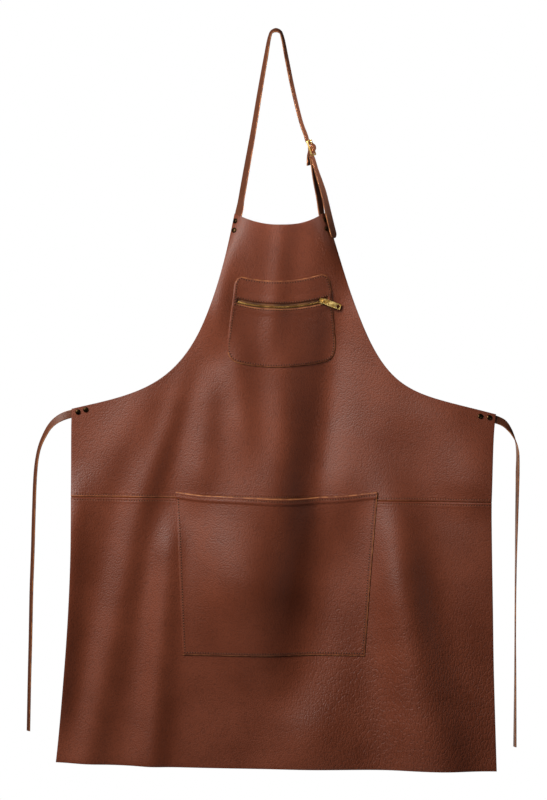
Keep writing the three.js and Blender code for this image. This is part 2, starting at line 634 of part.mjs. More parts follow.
// Waist ties: riveted behind the waist corners, then falling free.
function makeTies() {
  const leftBehind = [
    { x: -276, z: -565.5, turn: 155, tilt: -90 },
    { x: -285.3, z: -568, turn: 155, tilt: -90 },
    { x: -297, z: -571.4, turn: 155, tilt: -88 },
    { x: -306.5, z: -574, turn: 155, tilt: -84 },
  ];
  const leftFree = [
    { x: -320, y: 2, z: -578.5, turn: 155, tilt: -68 },
    { x: -331, y: 2, z: -585, turn: 155, tilt: -50 },
    { x: -339.5, y: 2, z: -593.5, turn: 155, tilt: -34 },
    { x: -347.5, y: 2, z: -607, turn: 155, tilt: -20 },
    { x: -354, y: 2, z: -622, turn: 157, tilt: -8 },
    { x: -358, y: 2, z: -638, turn: 157, tilt: 0 },
    { x: -361, y: 2, z: -663, turn: 155, tilt: 0 },
    { x: -363.5, y: 2, z: -725, turn: 154, tilt: 0 },
    { x: -365, y: 2, z: -780, turn: 154, tilt: 0 },
    { x: -367, y: 2, z: -838, turn: 154, tilt: 0 },
    { x: -368.5, y: 2, z: -913, turn: 155, tilt: 0 },
    { x: -370, y: 2, z: -973, turn: 156, tilt: 0 },
    { x: -371.5, y: 2, z: -1050, turn: 156, tilt: 0 },
  ];
  const rightBehind = [
    { x: 297, z: -576.8, turn: 10, tilt: 90 },
    { x: 306, z: -578.2, turn: 10, tilt: 90 },
    { x: 319.7, z: -580, turn: 10, tilt: 88 },
    { x: 329, z: -582, turn: 10, tilt: 84 },
  ];
  const rightFree = [
    { x: 341.5, y: 2, z: -588, turn: 10, tilt: 64 },
    { x: 349.5, y: 2, z: -596.5, turn: 9, tilt: 42 },
    { x: 355.5, y: 2, z: -606, turn: 4, tilt: 24 },
    { x: 360, y: 2, z: -617, turn: -3, tilt: 12 },
    { x: 362.6, y: 2, z: -632, turn: -12, tilt: 4 },
    { x: 362.6, y: 2, z: -663, turn: -19, tilt: 0 },
    { x: 361.2, y: 2, z: -734, turn: -11, tilt: 0 },
    { x: 360, y: 2, z: -794, turn: -2, tilt: 0 },
    { x: 359.3, y: 2, z: -854, turn: 1, tilt: 0 },
    { x: 359, y: 2, z: -914, turn: 1, tilt: 0 },
    { x: 359, y: 2, z: -974, turn: -4, tilt: 0 },
    { x: 358.5, y: 2, z: -1074, turn: -13, tilt: 0 },
  ];
  const routes = [
    ['tie_left', leftBehind, leftFree],
    ['tie_right', rightBehind, rightFree],
  ];
  for (const [name, behind, free] of routes) {
    const route = [...behind.map(behindRow), ...free.map(freeRow)];
    const tie = punched(ribbon(route, tieWidth, strapThickness, 2));
    addPiece(name, toGeometry(tie), brownLeather());
  }
}

// Rivets: a domed cap in front, a post through leather and strap, and a flat cap behind.
function makeRivets() {
  const front = halfLeather + capGap;
  const behind = -(halfLeather + strapGap + strapThickness + clearance);
  const profile = [
    at(0, behind - rivet.backHeight),
    at(rivet.back * 0.8, behind - rivet.backHeight),
    at(rivet.back, behind - rivet.backHeight / 2),
    at(rivet.back, behind),
    at(rivet.post, behind),
    at(rivet.post, front),
    at(rivet.cap, front),
    at(rivet.cap * 0.92, front + rivet.dome * 0.45),
    at(rivet.cap * 0.6, front + rivet.dome * 0.85),
    at(0, front + rivet.dome),
  ];
  for (const place of rivetPlaces) {
    const axis = rivetAxis(place);
    apron.add(axis);
    addPiece(place.name, new THREE.LatheGeometry(profile, rivet.sides), finish('#3a2f24', 0.45, 0.9), axis);
  }
}

makeBody();
makeChestPocket();
makeSlider();
makeLowerPocket();
makeNeckStrap();
makeBuckleStrap();
makeBuckle();
makeTies();
makeRivets();

export default apron;
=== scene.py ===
# A brown leather work apron that hangs by its neck strap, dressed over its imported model.
import math

import bmesh
import bpy
import numpy as np
from mathutils import Matrix, Vector


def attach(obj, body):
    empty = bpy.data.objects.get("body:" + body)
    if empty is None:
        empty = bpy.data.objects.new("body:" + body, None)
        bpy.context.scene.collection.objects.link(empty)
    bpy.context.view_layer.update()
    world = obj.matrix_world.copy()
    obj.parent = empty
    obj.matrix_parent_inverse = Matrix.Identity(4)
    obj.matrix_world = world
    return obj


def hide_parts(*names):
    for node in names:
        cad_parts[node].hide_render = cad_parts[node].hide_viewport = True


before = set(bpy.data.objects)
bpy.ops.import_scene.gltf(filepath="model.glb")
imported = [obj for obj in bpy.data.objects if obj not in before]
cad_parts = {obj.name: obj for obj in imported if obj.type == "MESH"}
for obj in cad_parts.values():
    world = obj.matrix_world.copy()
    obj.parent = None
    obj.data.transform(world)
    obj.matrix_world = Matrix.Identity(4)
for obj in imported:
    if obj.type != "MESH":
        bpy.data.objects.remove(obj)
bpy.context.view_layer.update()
bpy.ops.object.select_all(action="DESELECT")
mm = 0.001


# Camera at the photograph's angle: 1.5 mm of the apron to a pixel of the 547 x 800 picture.
cameraSetup = {"at": (-0.00375, -4.5, -0.5535), "lens": 135, "sensor": 36}
bpy.ops.object.camera_add(location=cameraSetup["at"], rotation=(math.pi / 2, 0, 0))
camera = bpy.context.object
camera.data.lens = cameraSetup["lens"]
camera.data.sensor_width = cameraSetup["sensor"]
camera.data.clip_end = 30
bpy.context.scene.camera = camera
print("camera set")


# Colours are typed as on screen and made linear here.
def toLinear(colour):
    parts = [int(colour[i:i + 2], 16) / 255 for i in (1, 3, 5)]
    return [p / 12.92 if p <= 0.04045 else ((p + 0.055) / 1.055) ** 2.4 for p in parts] + [1]


def addNode(tree, kind, settings=None, inputs=None, links=None):
    node = tree.nodes.new(kind)
    for name, value in (settings or {}).items():
        setattr(node, name, value)
    for name, value in (inputs or {}).items():
        node.inputs[name].default_value = value
    for name, socket in (links or {}).items():
        tree.links.new(socket, node.inputs[name])
    return node


# Soft studio light: a window-like key from the left, small ones on the straps and the tie from the right, a
# weak card for the zip's brass to mirror, and one for the back.
studio = {
    "key": {"at": (-1.33, -1.49, 0.65), "aim": (-0.05, 0, -0.45), "size": 1.12, "spread": 130, "power": 41,
            "colour": "#FFF8F2"},
    "kicker": {"at": (0.9, -0.46, 0.05), "aim": (0.06, 0, -0.15), "size": 0.12, "spread": 16, "power": 0.22,
               "colour": "#FFF9F4"},
    "rim": {"at": (1.3, -0.12, -0.8), "aim": (0.36, 0, -0.8), "size": 0.12, "spread": 56, "power": 0.07,
            "colour": "#FFF9F4"},
    "card": {"at": (0.77, -0.95, -0.66), "aim": (0.085, 0, -0.405), "size": 0.25, "spread": 50, "power": 0.1,
             "colour": "#FFF9F4"},
    "behind": {"at": (0, 3.2, -0.3), "aim": (0, 0, -0.55), "size": 1.2, "power": 60, "colour": "#FFFFFF"},
    "room": 0.038, "roomColour": "#FFFFFF",
}
for lamp in ("key", "kicker", "rim", "card", "behind"):
    spec = studio[lamp]
    bpy.ops.object.light_add(type="AREA", location=spec["at"])
    light = bpy.context.object
    light.name = lamp + "Light"
    light.rotation_euler = (Vector(spec["aim"]) - Vector(spec["at"])).to_track_quat("-Z", "Y").to_euler()
    light.data.size = spec["size"]
    light.visible_camera = False
    light.data.energy = spec["power"]
    light.data.spread = math.radians(spec.get("spread", 180))
    light.data.color = toLinear(spec["colour"])[:3]

world = bpy.data.worlds.new("studioRoom")
bpy.context.scene.world = world
world.use_nodes = True
room = world.node_tree
room.nodes.clear()
seen = addNode(room, "ShaderNodeBackground", inputs={"Color": (1, 1, 1, 1), "Strength": 1})
lit = addNode(room, "ShaderNodeBackground",
              inputs={"Color": toLinear(studio["roomColour"]), "Strength": studio["room"]})
eye = addNode(room, "ShaderNodeLightPath")
either = addNode(room, "ShaderNodeMixShader",
                 links={0: eye.outputs["Is Camera Ray"], 1: lit.outputs[0], 2: seen.outputs[0]})
addNode(room, "ShaderNodeOutputWorld", links={"Surface": either.outputs[0]})
bpy.context.scene.view_settings.view_transform = "Standard"
print("lights set")


# Materials. Each starts with object coordinates and a principled shader; sizes are in millimetres.
def newMaterial(name, constants):
    material = bpy.data.materials.new(name)
    material.use_nodes = True
    tree = material.node_tree
    tree.nodes.clear()
    shader = addNode(tree, "ShaderNodeBsdfPrincipled", inputs=constants)
    addNode(tree, "ShaderNodeOutputMaterial", links={"Surface": shader.outputs[0]})
    where = addNode(tree, "ShaderNodeTexCoord").outputs["Object"]
    return material, tree, shader, where


def noise(tree, where, size, detail):
    return addNode(tree, "ShaderNodeTexNoise", inputs={"Scale": 1000 / size, "Detail": detail},
                   links={"Vector": where}).outputs


def mapped(tree, value, low, high, toLow=0, toHigh=1, curve="LINEAR"):
    return addNode(tree, "ShaderNodeMapRange", {"interpolation_type": curve},
                   {"From Min": low, "From Max": high, "To Min": toLow, "To Max": toHigh},
                   {"Value": value}).outputs[0]


def calculate(tree, operation, inputs, links):
    return addNode(tree, "ShaderNodeMath", {"operation": operation}, inputs, links).outputs[0]


def dress(tree, shader, tone, dull, height, strength, deep):
    bump = addNode(tree, "ShaderNodeBump", inputs={"Strength": strength, "Distance": deep * mm},
                   links={"Height": height})
    for socket, name in ((tone, "Base Color"), (dull, "Roughness"), (bump.outputs[0], "Normal")):
        tree.links.new(socket, shader.inputs[name])


# Full-grain cowhide, drum dyed and milled: small soft pebbles that glint, cloudy brown, faint creases.
# The strap tones are painted darker than the hide's: partly a browner hide, partly a painted shade against the
# key light.
hide = {"dark": "#69311B", "light": "#763921", "strapDark": "#5A311D", "strapLight": "#673A24",
        "valleyShade": "#411D0F", "valleyShadeShare": 0.3, "pebble": 2.0, "pebbleSoft": 0.4, "warp": 11, "shift": 1.6,
        "cloud": 70, "cloudFrom": 0.35, "cloudTo": 0.68, "crease": 4.8, "creaseWide": 0.16,
        "drawnTurn": -32, "drawnLong": 0.5, "fewCreases": 0.12, "rightFrom": -0.05, "rightTo": 0.2,
        "lowFrom": -0.78, "lowTo": -1.0, "valleyShadeFrom": 0.4, "valleyShadeTo": 0.8, "dullFrom": 0.3, "dullTo": 0.7,
        "specular": 0.4, "strength": 0.55, "bump": 0.62, "roughLow": 0.48, "roughHigh": 0.58}


def makeHide(name, dark, light):
    material, tree, shader, where = newMaterial(name, {"Specular IOR Level": hide["specular"]})
    bend = noise(tree, where, hide["warp"], 2)["Color"]
    shift = addNode(tree, "ShaderNodeVectorMath", {"operation": "MULTIPLY_ADD"}, {1: (hide["shift"] * mm,) * 3},
                    {0: bend, 2: where}).outputs[0]
    pebble = addNode(tree, "ShaderNodeTexVoronoi", {"feature": "SMOOTH_F1"},
                     {"Scale": 1000 / hide["pebble"], "Smoothness": hide["pebbleSoft"]},
                     {"Vector": shift}).outputs["Distance"]
    turn = (0, math.radians(hide["drawnTurn"]), 0)
    drawn = addNode(tree, "ShaderNodeMapping", inputs={"Rotation": turn, "Scale": (1, 1, hide["drawnLong"])},
                    links={"Vector": shift}).outputs[0]
    crease = addNode(tree, "ShaderNodeTexVoronoi", {"feature": "DISTANCE_TO_EDGE"},
                     {"Scale": 1000 / hide["crease"]}, {"Vector": drawn}).outputs["Distance"]
    creaseLine = mapped(tree, crease, 0, hide["creaseWide"], curve="SMOOTHSTEP")
    # Creases show most low on the right, where the hide is coarser.
    spot = addNode(tree, "ShaderNodeSeparateXYZ", links={0: where}).outputs
    toRight = mapped(tree, spot["X"], hide["rightFrom"], hide["rightTo"], curve="SMOOTHSTEP")
    down = mapped(tree, spot["Z"], hide["lowFrom"], hide["lowTo"], curve="SMOOTHSTEP")
    coarse = calculate(tree, "MULTIPLY_ADD", {2: hide["fewCreases"]}, {0: toRight, 1: down})
    creased = calculate(tree, "MULTIPLY", {}, {0: creaseLine, 1: coarse})
    height = calculate(tree, "SUBTRACT", {}, {0: creased, 1: pebble})
    cloud = noise(tree, where, hide["cloud"], 5)["Fac"]
    brown = addNode(tree, "ShaderNodeMapRange", {"data_type": "FLOAT_VECTOR"},
                    {7: (hide["cloudFrom"],) * 3, 8: (hide["cloudTo"],) * 3,
                     9: toLinear(dark)[:3], 10: toLinear(light)[:3]}, {6: cloud})
    # The pebbles' valleys are painted darker: a painted shade in the grain's hollows.
    deep = mapped(tree, pebble, hide["valleyShadeFrom"], hide["valleyShadeTo"], 0, hide["valleyShadeShare"], "SMOOTHSTEP")
    tone = addNode(tree, "ShaderNodeMix", {"data_type": "RGBA"}, {7: toLinear(hide["valleyShade"])},
                   {0: deep, 6: brown.outputs["Vector"]}).outputs[2]
    dull = mapped(tree, cloud, hide["dullFrom"], hide["dullTo"], hide["roughLow"], hide["roughHigh"])
    dress(tree, shader, tone, dull, height, hide["strength"], hide["bump"])
    return material


# The two-tone materials below share one recipe: a noise that mixes two colours, sets the roughness and a bump.
# Pairs are for the dark and the light tone, and sizes are those of the grain and the patches.
mottle = {"low": 0.38, "high": 0.62, "middle": 0.5, "strength": 0.5}


def makeMottled(name, tones, sizes, fine, rough, bump, constants=None, stretch=(1, 1, 1)):
    material, tree, shader, where = newMaterial(name, constants or {})
    drawn = addNode(tree, "ShaderNodeMapping", inputs={"Scale": stretch}, links={"Vector": where}).outputs[0]
    grain, patch = noise(tree, drawn, sizes[0], 3)["Fac"], noise(tree, where, sizes[1], 4)["Fac"]
    mixed = calculate(tree, "MULTIPLY_ADD", {1: fine}, {0: grain, 2: patch})
    share = mapped(tree, mixed, *(mottle[end] + mottle["middle"] * fine for end in ("low", "high")))
    tone = addNode(tree, "ShaderNodeMix", {"data_type": "RGBA"},
                   {6: toLinear(tones[0]), 7: toLinear(tones[1])}, {0: share}).outputs[2]
    dress(tree, shader, tone, mapped(tree, share, 0, 1, *rough), grain, mottle["strength"], bump)
    return material


hideGrain = makeHide("cowhideMilledFullGrain", hide["dark"], hide["light"])

# The straps' and ties' leather: the same hide in browner tones, also painted darker, a painted shade that tones
# down the key light on the straps.
shadedStrapGrain = makeHide("cowhideStrapGrainPaintedShade", hide["strapDark"], hide["strapLight"])

# Flesh side of the hide, buffed: short fibres, dull and paler than the dyed face.
hideFlesh = makeMottled("cowhideBuffedFlesh", ("#5C3520", "#7E5234"), (0.9, 26), 0.8, (0.95, 0.85), 0.5,
                        {"Sheen Weight": 0.25, "Sheen Roughness": 0.5})

# Cut edge left undyed: pale fibres, streaked along the hide's thickness.
cutEdge = makeMottled("cowhideRawCutEdge", ("#6E3B20", "#A86C3E"), (1.2, 9), 0.7, (0.8, 0.65), 0.2)

# Grain on the ridge just above the turned waist seam: a warm tan band.
hideTanRidge = makeMottled("cowhideTanRidge", ("#7E4527", "#9E5F38"), (1.6, 11), 0.7, (0.6, 0.5), 0.3)

# Edge dyed and rubbed with wax: almost black brown, a little shiny.
dyedEdge = makeMottled("cowhideWaxedEdge", ("#2A130B", "#54301D"), (1.2, 14), 0.6, (0.5, 0.42), 0.15)

# Waxed linen thread, twisted: a little paler than the hide, with a dull gloss.
thread = makeMottled("waxedLinenThread", ("#70391F", "#9A5B35"), (0.8, 6), 0.8, (0.6, 0.5), 0.25)

# Needle holes: punched hide in shadow.
needleHole = makeMottled("punchedHideHole", ("#140905", "#1F0F08"), (1, 8), 0.5, (0.9, 0.9), 0.1)

# Cast brass, tumbled and lacquered: yellow and bright, with dull brown tarnish in patches.
brass = makeMottled("castBrassTumbled", ("#C9A050", "#F4D88C"), (0.7, 5), 0.4, (0.5, 0.4), 0.04,
                    {"Metallic": 1})

# Stamped zip brass, rubbed: brown gold, darker in random patches.
zipBrass = makeMottled("stampedZipBrass", ("#9A7236", "#DDB66C"), (0.8, 9), 0.5, (0.52, 0.42), 0.05,
                       {"Metallic": 1})

# Pressed brass, blackened: dark brown metal that is rubbed bright in specks.
darkBrass = makeMottled("pressedBrassBlackened", ("#150E09", "#4A3822"), (0.8, 4), 0.5, (0.4, 0.28), 0.05,
                        {"Metallic": 1})

# Cotton zip tape, herringbone woven: dull brown with a rib across it, drawn as coarse as it needs to show.
zipCloth = makeMottled("cottonWovenTape", ("#4E2F1A", "#744A28"), (1.1, 12), 0.9, (0.95, 0.85), 0.4,
                       {"Sheen Weight": 0.15}, (1, 1, 0.3))

# Painted floor board, matt and pale.
paleFloor = makeMottled("mattPaintedBoard", ("#E4E2DE", "#ECEAE7"), (3, 120), 0.4, (0.85, 0.8), 0.05)
print("materials:", len(bpy.data.materials))


# Small helpers for selecting and finishing.
def only(piece):
    bpy.ops.object.select_all(action="DESELECT")
    piece.select_set(True)
    bpy.context.view_layer.objects.active = piece


def choose(kind, test):
    bpy.ops.mesh.select_mode(type=kind)
    bpy.ops.mesh.select_all(action="DESELECT")
    shape = bmesh.from_edit_mesh(bpy.context.object.data)
    for part in {"VERT": shape.verts, "EDGE": shape.edges, "FACE": shape.faces}[kind]:
        if test(part):
            part.select_set(True)
    shape.select_flush_mode()
    bmesh.update_edit_mesh(bpy.context.object.data)


def startEdit():
    bpy.ops.object.mode_set(mode="EDIT")


def endEdit():
    bpy.ops.object.mode_set(mode="OBJECT")


def selectAll():
    bpy.ops.mesh.select_all(action="SELECT")


def extrude(*way):
    bpy.ops.mesh.extrude_region_move(TRANSFORM_OT_translate={"value": way})


def faceOut():
    selectAll()
    bpy.ops.mesh.normals_make_consistent(inside=False)


# A new primitive, with its place, turn and size made part of its mesh.
def primitive(add, name, scale=(1, 1, 1), **settings):
    bpy.ops.object.select_all(action="DESELECT")
    add(**settings)
    piece = bpy.context.object
    piece.name = name
    piece.scale = scale
    bpy.ops.object.transform_apply(location=True, rotation=True, scale=True)
    return piece


def block(name, scale, place=(0, 0, 0)):
    return primitive(bpy.ops.mesh.primitive_cube_add, name, scale, size=1, location=place)


# The mesh of a pattern piece, which is then deleted.
def takeMesh(piece):
    points = np.array([v.co[:] for v in piece.data.vertices])
    faces = [list(p.vertices) for p in piece.data.polygons]
    bpy.data.objects.remove(piece)
    return points, faces


def withModifier(piece, kind, settings):
    only(piece)
    modifier = piece.modifiers.new(kind.lower(), kind)
    for name, value in settings.items():
        setattr(modifier, name, value)
    bpy.ops.object.modifier_apply(modifier=modifier.name)


def roundEdges(piece, width, segments, degrees):
    withModifier(piece, "BEVEL", {"width": width * mm, "segments": segments, "limit_method": "ANGLE",
                                  "angle_limit": math.radians(degrees)})


def smoothByAngle(piece, degrees=50):
    only(piece)
    bpy.ops.object.shade_smooth_by_angle(angle=math.radians(degrees))


def newPiece(name, points, faces, marks, materials):
    mesh = bpy.data.meshes.new(name)
    mesh.from_pydata((np.asarray(points) * mm).tolist(), [], faces)
    for material in materials:
        mesh.materials.append(material)
    mesh.polygons.foreach_set("material_index", marks)
    mesh.validate()
    piece = bpy.data.objects.new(name, mesh)
    bpy.context.scene.collection.objects.link(piece)
    return piece


def settle(piece, nodes, body="apron"):
    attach(piece, body)
    if nodes:
        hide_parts(*nodes)


def finishMetal(piece, material, degrees, node, axes=None, body="apron"):
    if axes:
        piece.data.transform(axes)
    piece.data.materials.append(material)
    smoothByAngle(piece, degrees)
    settle(piece, [node], body)


# Cut and hang of the leather in millimetres, as in the CAD: the edges' curves, the neckline and the curl.
apronCut = {
    "wall": 1.6,
    "left": [[(-62, -273), (-111, -531), (-177, -537), (-306.5, -566.5)],
             [(-306.5, -566.5), (-308, -600), (-307, -698.5)],
             [(-307, -698.5), (-304, -868), (-330, -1096.3)]],
    "right": [[(76, -272), (157, -557), (172, -533), (330, -575)],
              [(330, -575), (324.5, -600), (322, -707)],
              [(322, -707), (323.5, -880), (331, -1110.5)]],
    "neckTop": -272, "neckDip": 18, "dipEnds": 1.4, "leftRound": 2.2, "rightTo": 0.93, "rightRound": 2.6,
    "hemDip": 7.6,
    "curlMiddle": 7, "curlHalf": 69, "curlBack": 26, "curlWidens": 0.26, "curlPower": 4, "curlMost": 1.05,
    "curlLength": 165,
    "edgeLeft": -62, "leftSlope": 0.227, "edgeRight": 76, "rightSlope": 0.3,
    "edgeBack": 3.5, "edgeReach": 8, "edgeLength": 110, "edgeNear": -20, "edgeFar": 400,
}

# Folds: top x and z, foot x and z, half width, how far it stands out, length of its fade.
folds = [
    (-58, -155, -36, -455, 42, 7.4, 60),
    (9, -455, 30, -741, 42, 7.4, 60),
    (93, -394, 49, -743, 34, -20, 97),
    (134, -430, 106, -639, 42, -8.5, 78),
    (-82, -242, -90, -455, 28, 18, 51),
    (-62, -455, -49, -626, 25.5, 10.8, 51),
    (16, -250, -6, -470, 17, 4.5, 45),
    (-95, -516, -119, -693, 27, 7.2, 43),
    (-141, -524, -187, -683, 17, 4.4, 78),
    (-180, -523, -267, -691, 42, 7.7, 85),
    (-159, -742, -190, -1133, 23, 10.6, 46),
    (-189, -629, -295, -1153, 27, 10.6, 65),
    (-10, -620, -67, -921, 94, 20, 107),
    (78, -742, 25, -1047, 54, -20, 87),
    (172, -691, 264, -1162, 40, 19.8, 75),
    (270, -705, 276, -1117, 54, 7.8, 90),
    (97, -800, 38, -1126, 50, 4.4, 97),
    (-304, -697, -332, -1022, 23.5, 15, 60),
    (240, -554, 301, -707, 58, 10.6, 35),
    (310, -610, 358, -913, 64, 15, 60),
    (-50, -779, 59, -1097, 69, 18.9, 71),
    (39, -434, 30, -712, 21, -3.6, 61),
    (-273, -695, -340, -1106, 34, 6.2, 55),
    (171, -785, 210, -1117, 37, 20, 83),
]


def smooth(t):
    t = np.clip(t, 0, 1)
    return t * t * (3 - 2 * t)


def bezier(points, t):
    t = np.asarray(t, float)[..., None]
    level = [np.array(point, float) for point in points]
    while len(level) > 1:
        level = [a + (b - a) * t for a, b in zip(level, level[1:])]
    return level[0]


def edgePoint(side, row):
    place = np.zeros(row.shape + (2,))
    for k, curve in enumerate(apronCut[side]):
        here = np.minimum(np.floor(row), 2) == k
        place[here] = bezier(curve, row[here] - k)
    return place


# A place on the body: across from 0 to 1, row from 0 at the neckline to 1 at the waist, 2 at the seam and 3 at
# the hem.
def gridPlace(across, row):
    across, row = np.broadcast_arrays(np.asarray(across, float), np.asarray(row, float))
    left, right = edgePoint("left", row), edgePoint("right", row)
    x = left[..., 0] + (right[..., 0] - left[..., 0]) * across
    z = left[..., 1] + (right[..., 1] - left[..., 1]) * across
    dip = apronCut["neckDip"] * np.maximum(0, 1 - row / apronCut["dipEnds"])
    fromMiddle = np.abs(2 * across - 1)
    rightRise = np.minimum(1, fromMiddle / apronCut["rightTo"]) ** apronCut["rightRound"]
    z = z - dip * (1 - np.where(across < 0.5, fromMiddle ** apronCut["leftRound"], rightRise))
    z = z - apronCut["hemDip"] * np.maximum(0, row - 2) ** 2 * (1 - across) * np.sin(np.pi * across)
    return x, z


def standOut(x, z):
    below = apronCut["neckTop"] - z
    half = apronCut["curlHalf"] + apronCut["curlWidens"] * np.maximum(0, below)
    aside = np.minimum(apronCut["curlMost"], np.abs(x - apronCut["curlMiddle"]) / half)
    out = -apronCut["curlBack"] * smooth(1 - below / apronCut["curlLength"]) * aside ** apronCut["curlPower"]
    near, far = apronCut["edgeNear"], apronCut["edgeFar"]
    fromLeft = np.clip(x - apronCut["edgeLeft"] + apronCut["leftSlope"] * below, near, far)
    fromRight = np.clip(apronCut["edgeRight"] + apronCut["rightSlope"] * below - x, near, far)
    turned = np.exp(-fromLeft / apronCut["edgeReach"]) + np.exp(-fromRight / apronCut["edgeReach"])
    out = out - apronCut["edgeBack"] * turned * smooth(1 - below / apronCut["edgeLength"])
    for topX, topZ, footX, footZ, half, stands, fade in folds:
        crest = topX + (footX - topX) * (z - topZ) / (footZ - topZ)
        inside = smooth((topZ + fade - z) / (2 * fade)) * smooth((z - footZ + fade) / (2 * fade))
        out = out + stands * np.exp(-((x - crest) / half) ** 2) * inside
    return out


def facing(x, z):
    x, z = np.asarray(x, float), np.asarray(z, float)
    slopeX = standOut(x + 0.5, z) - standOut(x - 0.5, z)
    slopeZ = standOut(x, z + 0.5) - standOut(x, z - 0.5)
    way = np.stack([-slopeX, -np.ones_like(slopeX), -slopeZ], -1)
    return way / np.linalg.norm(way, axis=-1, keepdims=True)


# Axes of a small copy on the leather: along its row, across it and out of the leather.
def axesOver(x, z, along):
    up = facing(x, z)
    along = along - up * along.dot(up)
    along /= np.linalg.norm(along)
    return np.array([along, np.cross(up, along), up])


# A point over the middle of the leather: lift is positive in front of it and negative behind it.
def overLeather(x, z, lift):
    x, z, lift = np.broadcast_arrays(np.asarray(x, float), np.asarray(z, float), np.asarray(lift, float))
    return np.stack([x, -standOut(x, z), z], -1) + facing(x, z) * lift[..., None]


# Straps: a rounded flat section swept along a route; the grain faces out, the flesh side in, the edges are cut.
strapCut = {"thickness": 1.8, "neckWidth": 15, "tieWidth": 12, "edge": 0.45, "gap": 1.2, "perRow": 6,
            "tipHalf": 0.3, "flatFrom": 1.35}
behindLift = -(apronCut["wall"] / 2 + strapCut["gap"] + strapCut["thickness"] / 2)


def widthWay(turn, tilt):
    turned, tilted = math.radians(turn), math.radians(tilt)
    level = math.cos(tilted)
    return np.array([math.sin(turned) * level, math.cos(turned) * level, math.sin(tilted)])


def freeRow(x, y, z, turn, tilt):
    return np.array([x, y, z], float), widthWay(turn, tilt)


def behindRow(x, z, turn, tilt):
    width, face = widthWay(turn, tilt), facing(x, z)
    width = width - face * width.dot(face)
    return overLeather(x, z, behindLift), width / np.linalg.norm(width)


# A centripetal curve through the rows, as the CAD draws it.
def throughRows(points, perRow):
    points = np.vstack([2 * points[0] - points[1], points, 2 * points[-1] - points[-2]])
    run = []
    for i in range(1, len(points) - 2):
        a, b, c, d = points[i - 1:i + 3]
        first, middle, last = (np.sum((q - p) ** 2) ** 0.25 for p, q in ((a, b), (b, c), (c, d)))
        leave = ((b - a) / first - (c - a) / (first + middle) + (c - b) / middle) * middle
        reach = ((c - b) / middle - (d - b) / (middle + last) + (d - c) / last) * middle
        for t in np.arange(perRow) / perRow:
            run.append((2 * t ** 3 - 3 * t ** 2 + 1) * b + (t ** 3 - 2 * t ** 2 + t) * leave
                       + (3 * t ** 2 - 2 * t ** 3) * c + (t ** 3 - t ** 2) * reach)
    return np.array(run + [points[-2]])


def makeStrap(name, route, width, roundEnd=False):
    perRow, edge, flat = strapCut["perRow"], strapCut["edge"], strapCut["flatFrom"]
    centre = throughRows(np.array([place for place, way in route]), perRow)
    sides = np.array([way for place, way in route])
    steps = np.arange(len(centre)) / perRow
    side = np.stack([np.interp(steps, np.arange(len(sides)), sides[:, k]) for k in range(3)], -1)
    along = np.gradient(centre, axis=0)
    along /= np.linalg.norm(along, axis=1, keepdims=True)
    side -= along * np.sum(side * along, axis=1, keepdims=True)
    side /= np.linalg.norm(side, axis=1, keepdims=True)
    face = np.cross(along, side)
    half = np.full(len(centre), width / 2)
    if roundEnd:
        toTip = np.clip(np.linalg.norm(centre - centre[-1], axis=1) / (width / 2), 0, 1)
        half = half * np.maximum(strapCut["tipHalf"], np.sqrt(1 - (1 - toTip) ** 2))
    h = strapCut["thickness"] / 2
    section = [(-1, 0, -h + edge), (-1, 0, h - edge), (-1, edge, h), (-1, flat, h), (1, -flat, h),
               (1, -edge, h), (1, 0, h - edge), (1, 0, -h + edge), (1, -edge, -h), (1, -flat, -h),
               (-1, flat, -h), (-1, edge, -h)]
    kinds = [1, 1, 0, 0, 0, 1, 1, 1, 2, 2, 2, 1]  # what lies after each corner: 0 grain, 1 edge, 2 flesh
    rings = [centre + side * (sign * half + inset)[:, None] + face * out for sign, inset, out in section]
    points = np.stack(rings, 1).reshape(-1, 3)
    faces, marks, n = [], [], len(section)
    for row in range(len(centre) - 1):
        for k in range(n):
            a, b = row * n + k, row * n + (k + 1) % n
            faces.append([a, b, b + n, a + n])
            marks.append(kinds[k])
    faces += [list(range(n))[::-1], [len(points) - n + k for k in range(n)]]
    marks += [1, 1]
    piece = newPiece(name, points, faces, marks, [shadedStrapGrain, cutEdge, hideFlesh])
    only(piece)
    startEdit()
    faceOut()
    endEdit()
    smoothByAngle(piece)
    return piece, centre


# Waist ties: flat leather cords riveted behind the waist corners, bent over and hanging to their cut ends.
ties = {
    "left": {
        "behind": [(-276, -565.5, 155, -90), (-285.3, -568, 155, -90), (-297, -571.4, 155, -88),
                   (-306.5, -574, 155, -84)],
        "free": [(-320, 2, -578.5, 155, -68), (-331, 2, -585, 155, -50), (-339.5, 2, -593.5, 155, -34),
                 (-347.5, 2, -607, 155, -20), (-354, 2, -622, 157, -8), (-358, 2, -638, 157, 0),
                 (-361, 2, -663, 155, 0), (-363.5, 2, -725, 154, 0), (-365, 2, -780, 154, 0),
                 (-367, 2, -838, 154, 0), (-368.5, 2, -913, 155, 0), (-370, 2, -973, 156, 0),
                 (-371.5, 2, -1050, 156, 0)],
        "exit": (-297, -571.4), "length": 0.53,
    },
    "right": {
        "behind": [(297, -576.8, 10, 90), (306, -578.2, 10, 90), (319.7, -580, 10, 88), (329, -582, 10, 84)],
        "free": [(341.5, 2, -588, 10, 64), (349.5, 2, -596.5, 9, 42), (355.5, 2, -606, 4, 24),
                 (360, 2, -617, -3, 12), (362.6, 2, -632, -12, 4), (362.6, 2, -663, -19, 0),
                 (361.2, 2, -734, -11, 0), (360, 2, -794, -2, 0), (359.3, 2, -854, 1, 0), (359, 2, -914, 1, 0),
                 (359, 2, -974, -4, 0), (358.5, 2, -1074, -13, 0)],
        "exit": (319.7, -580), "length": 0.54,
    },
}
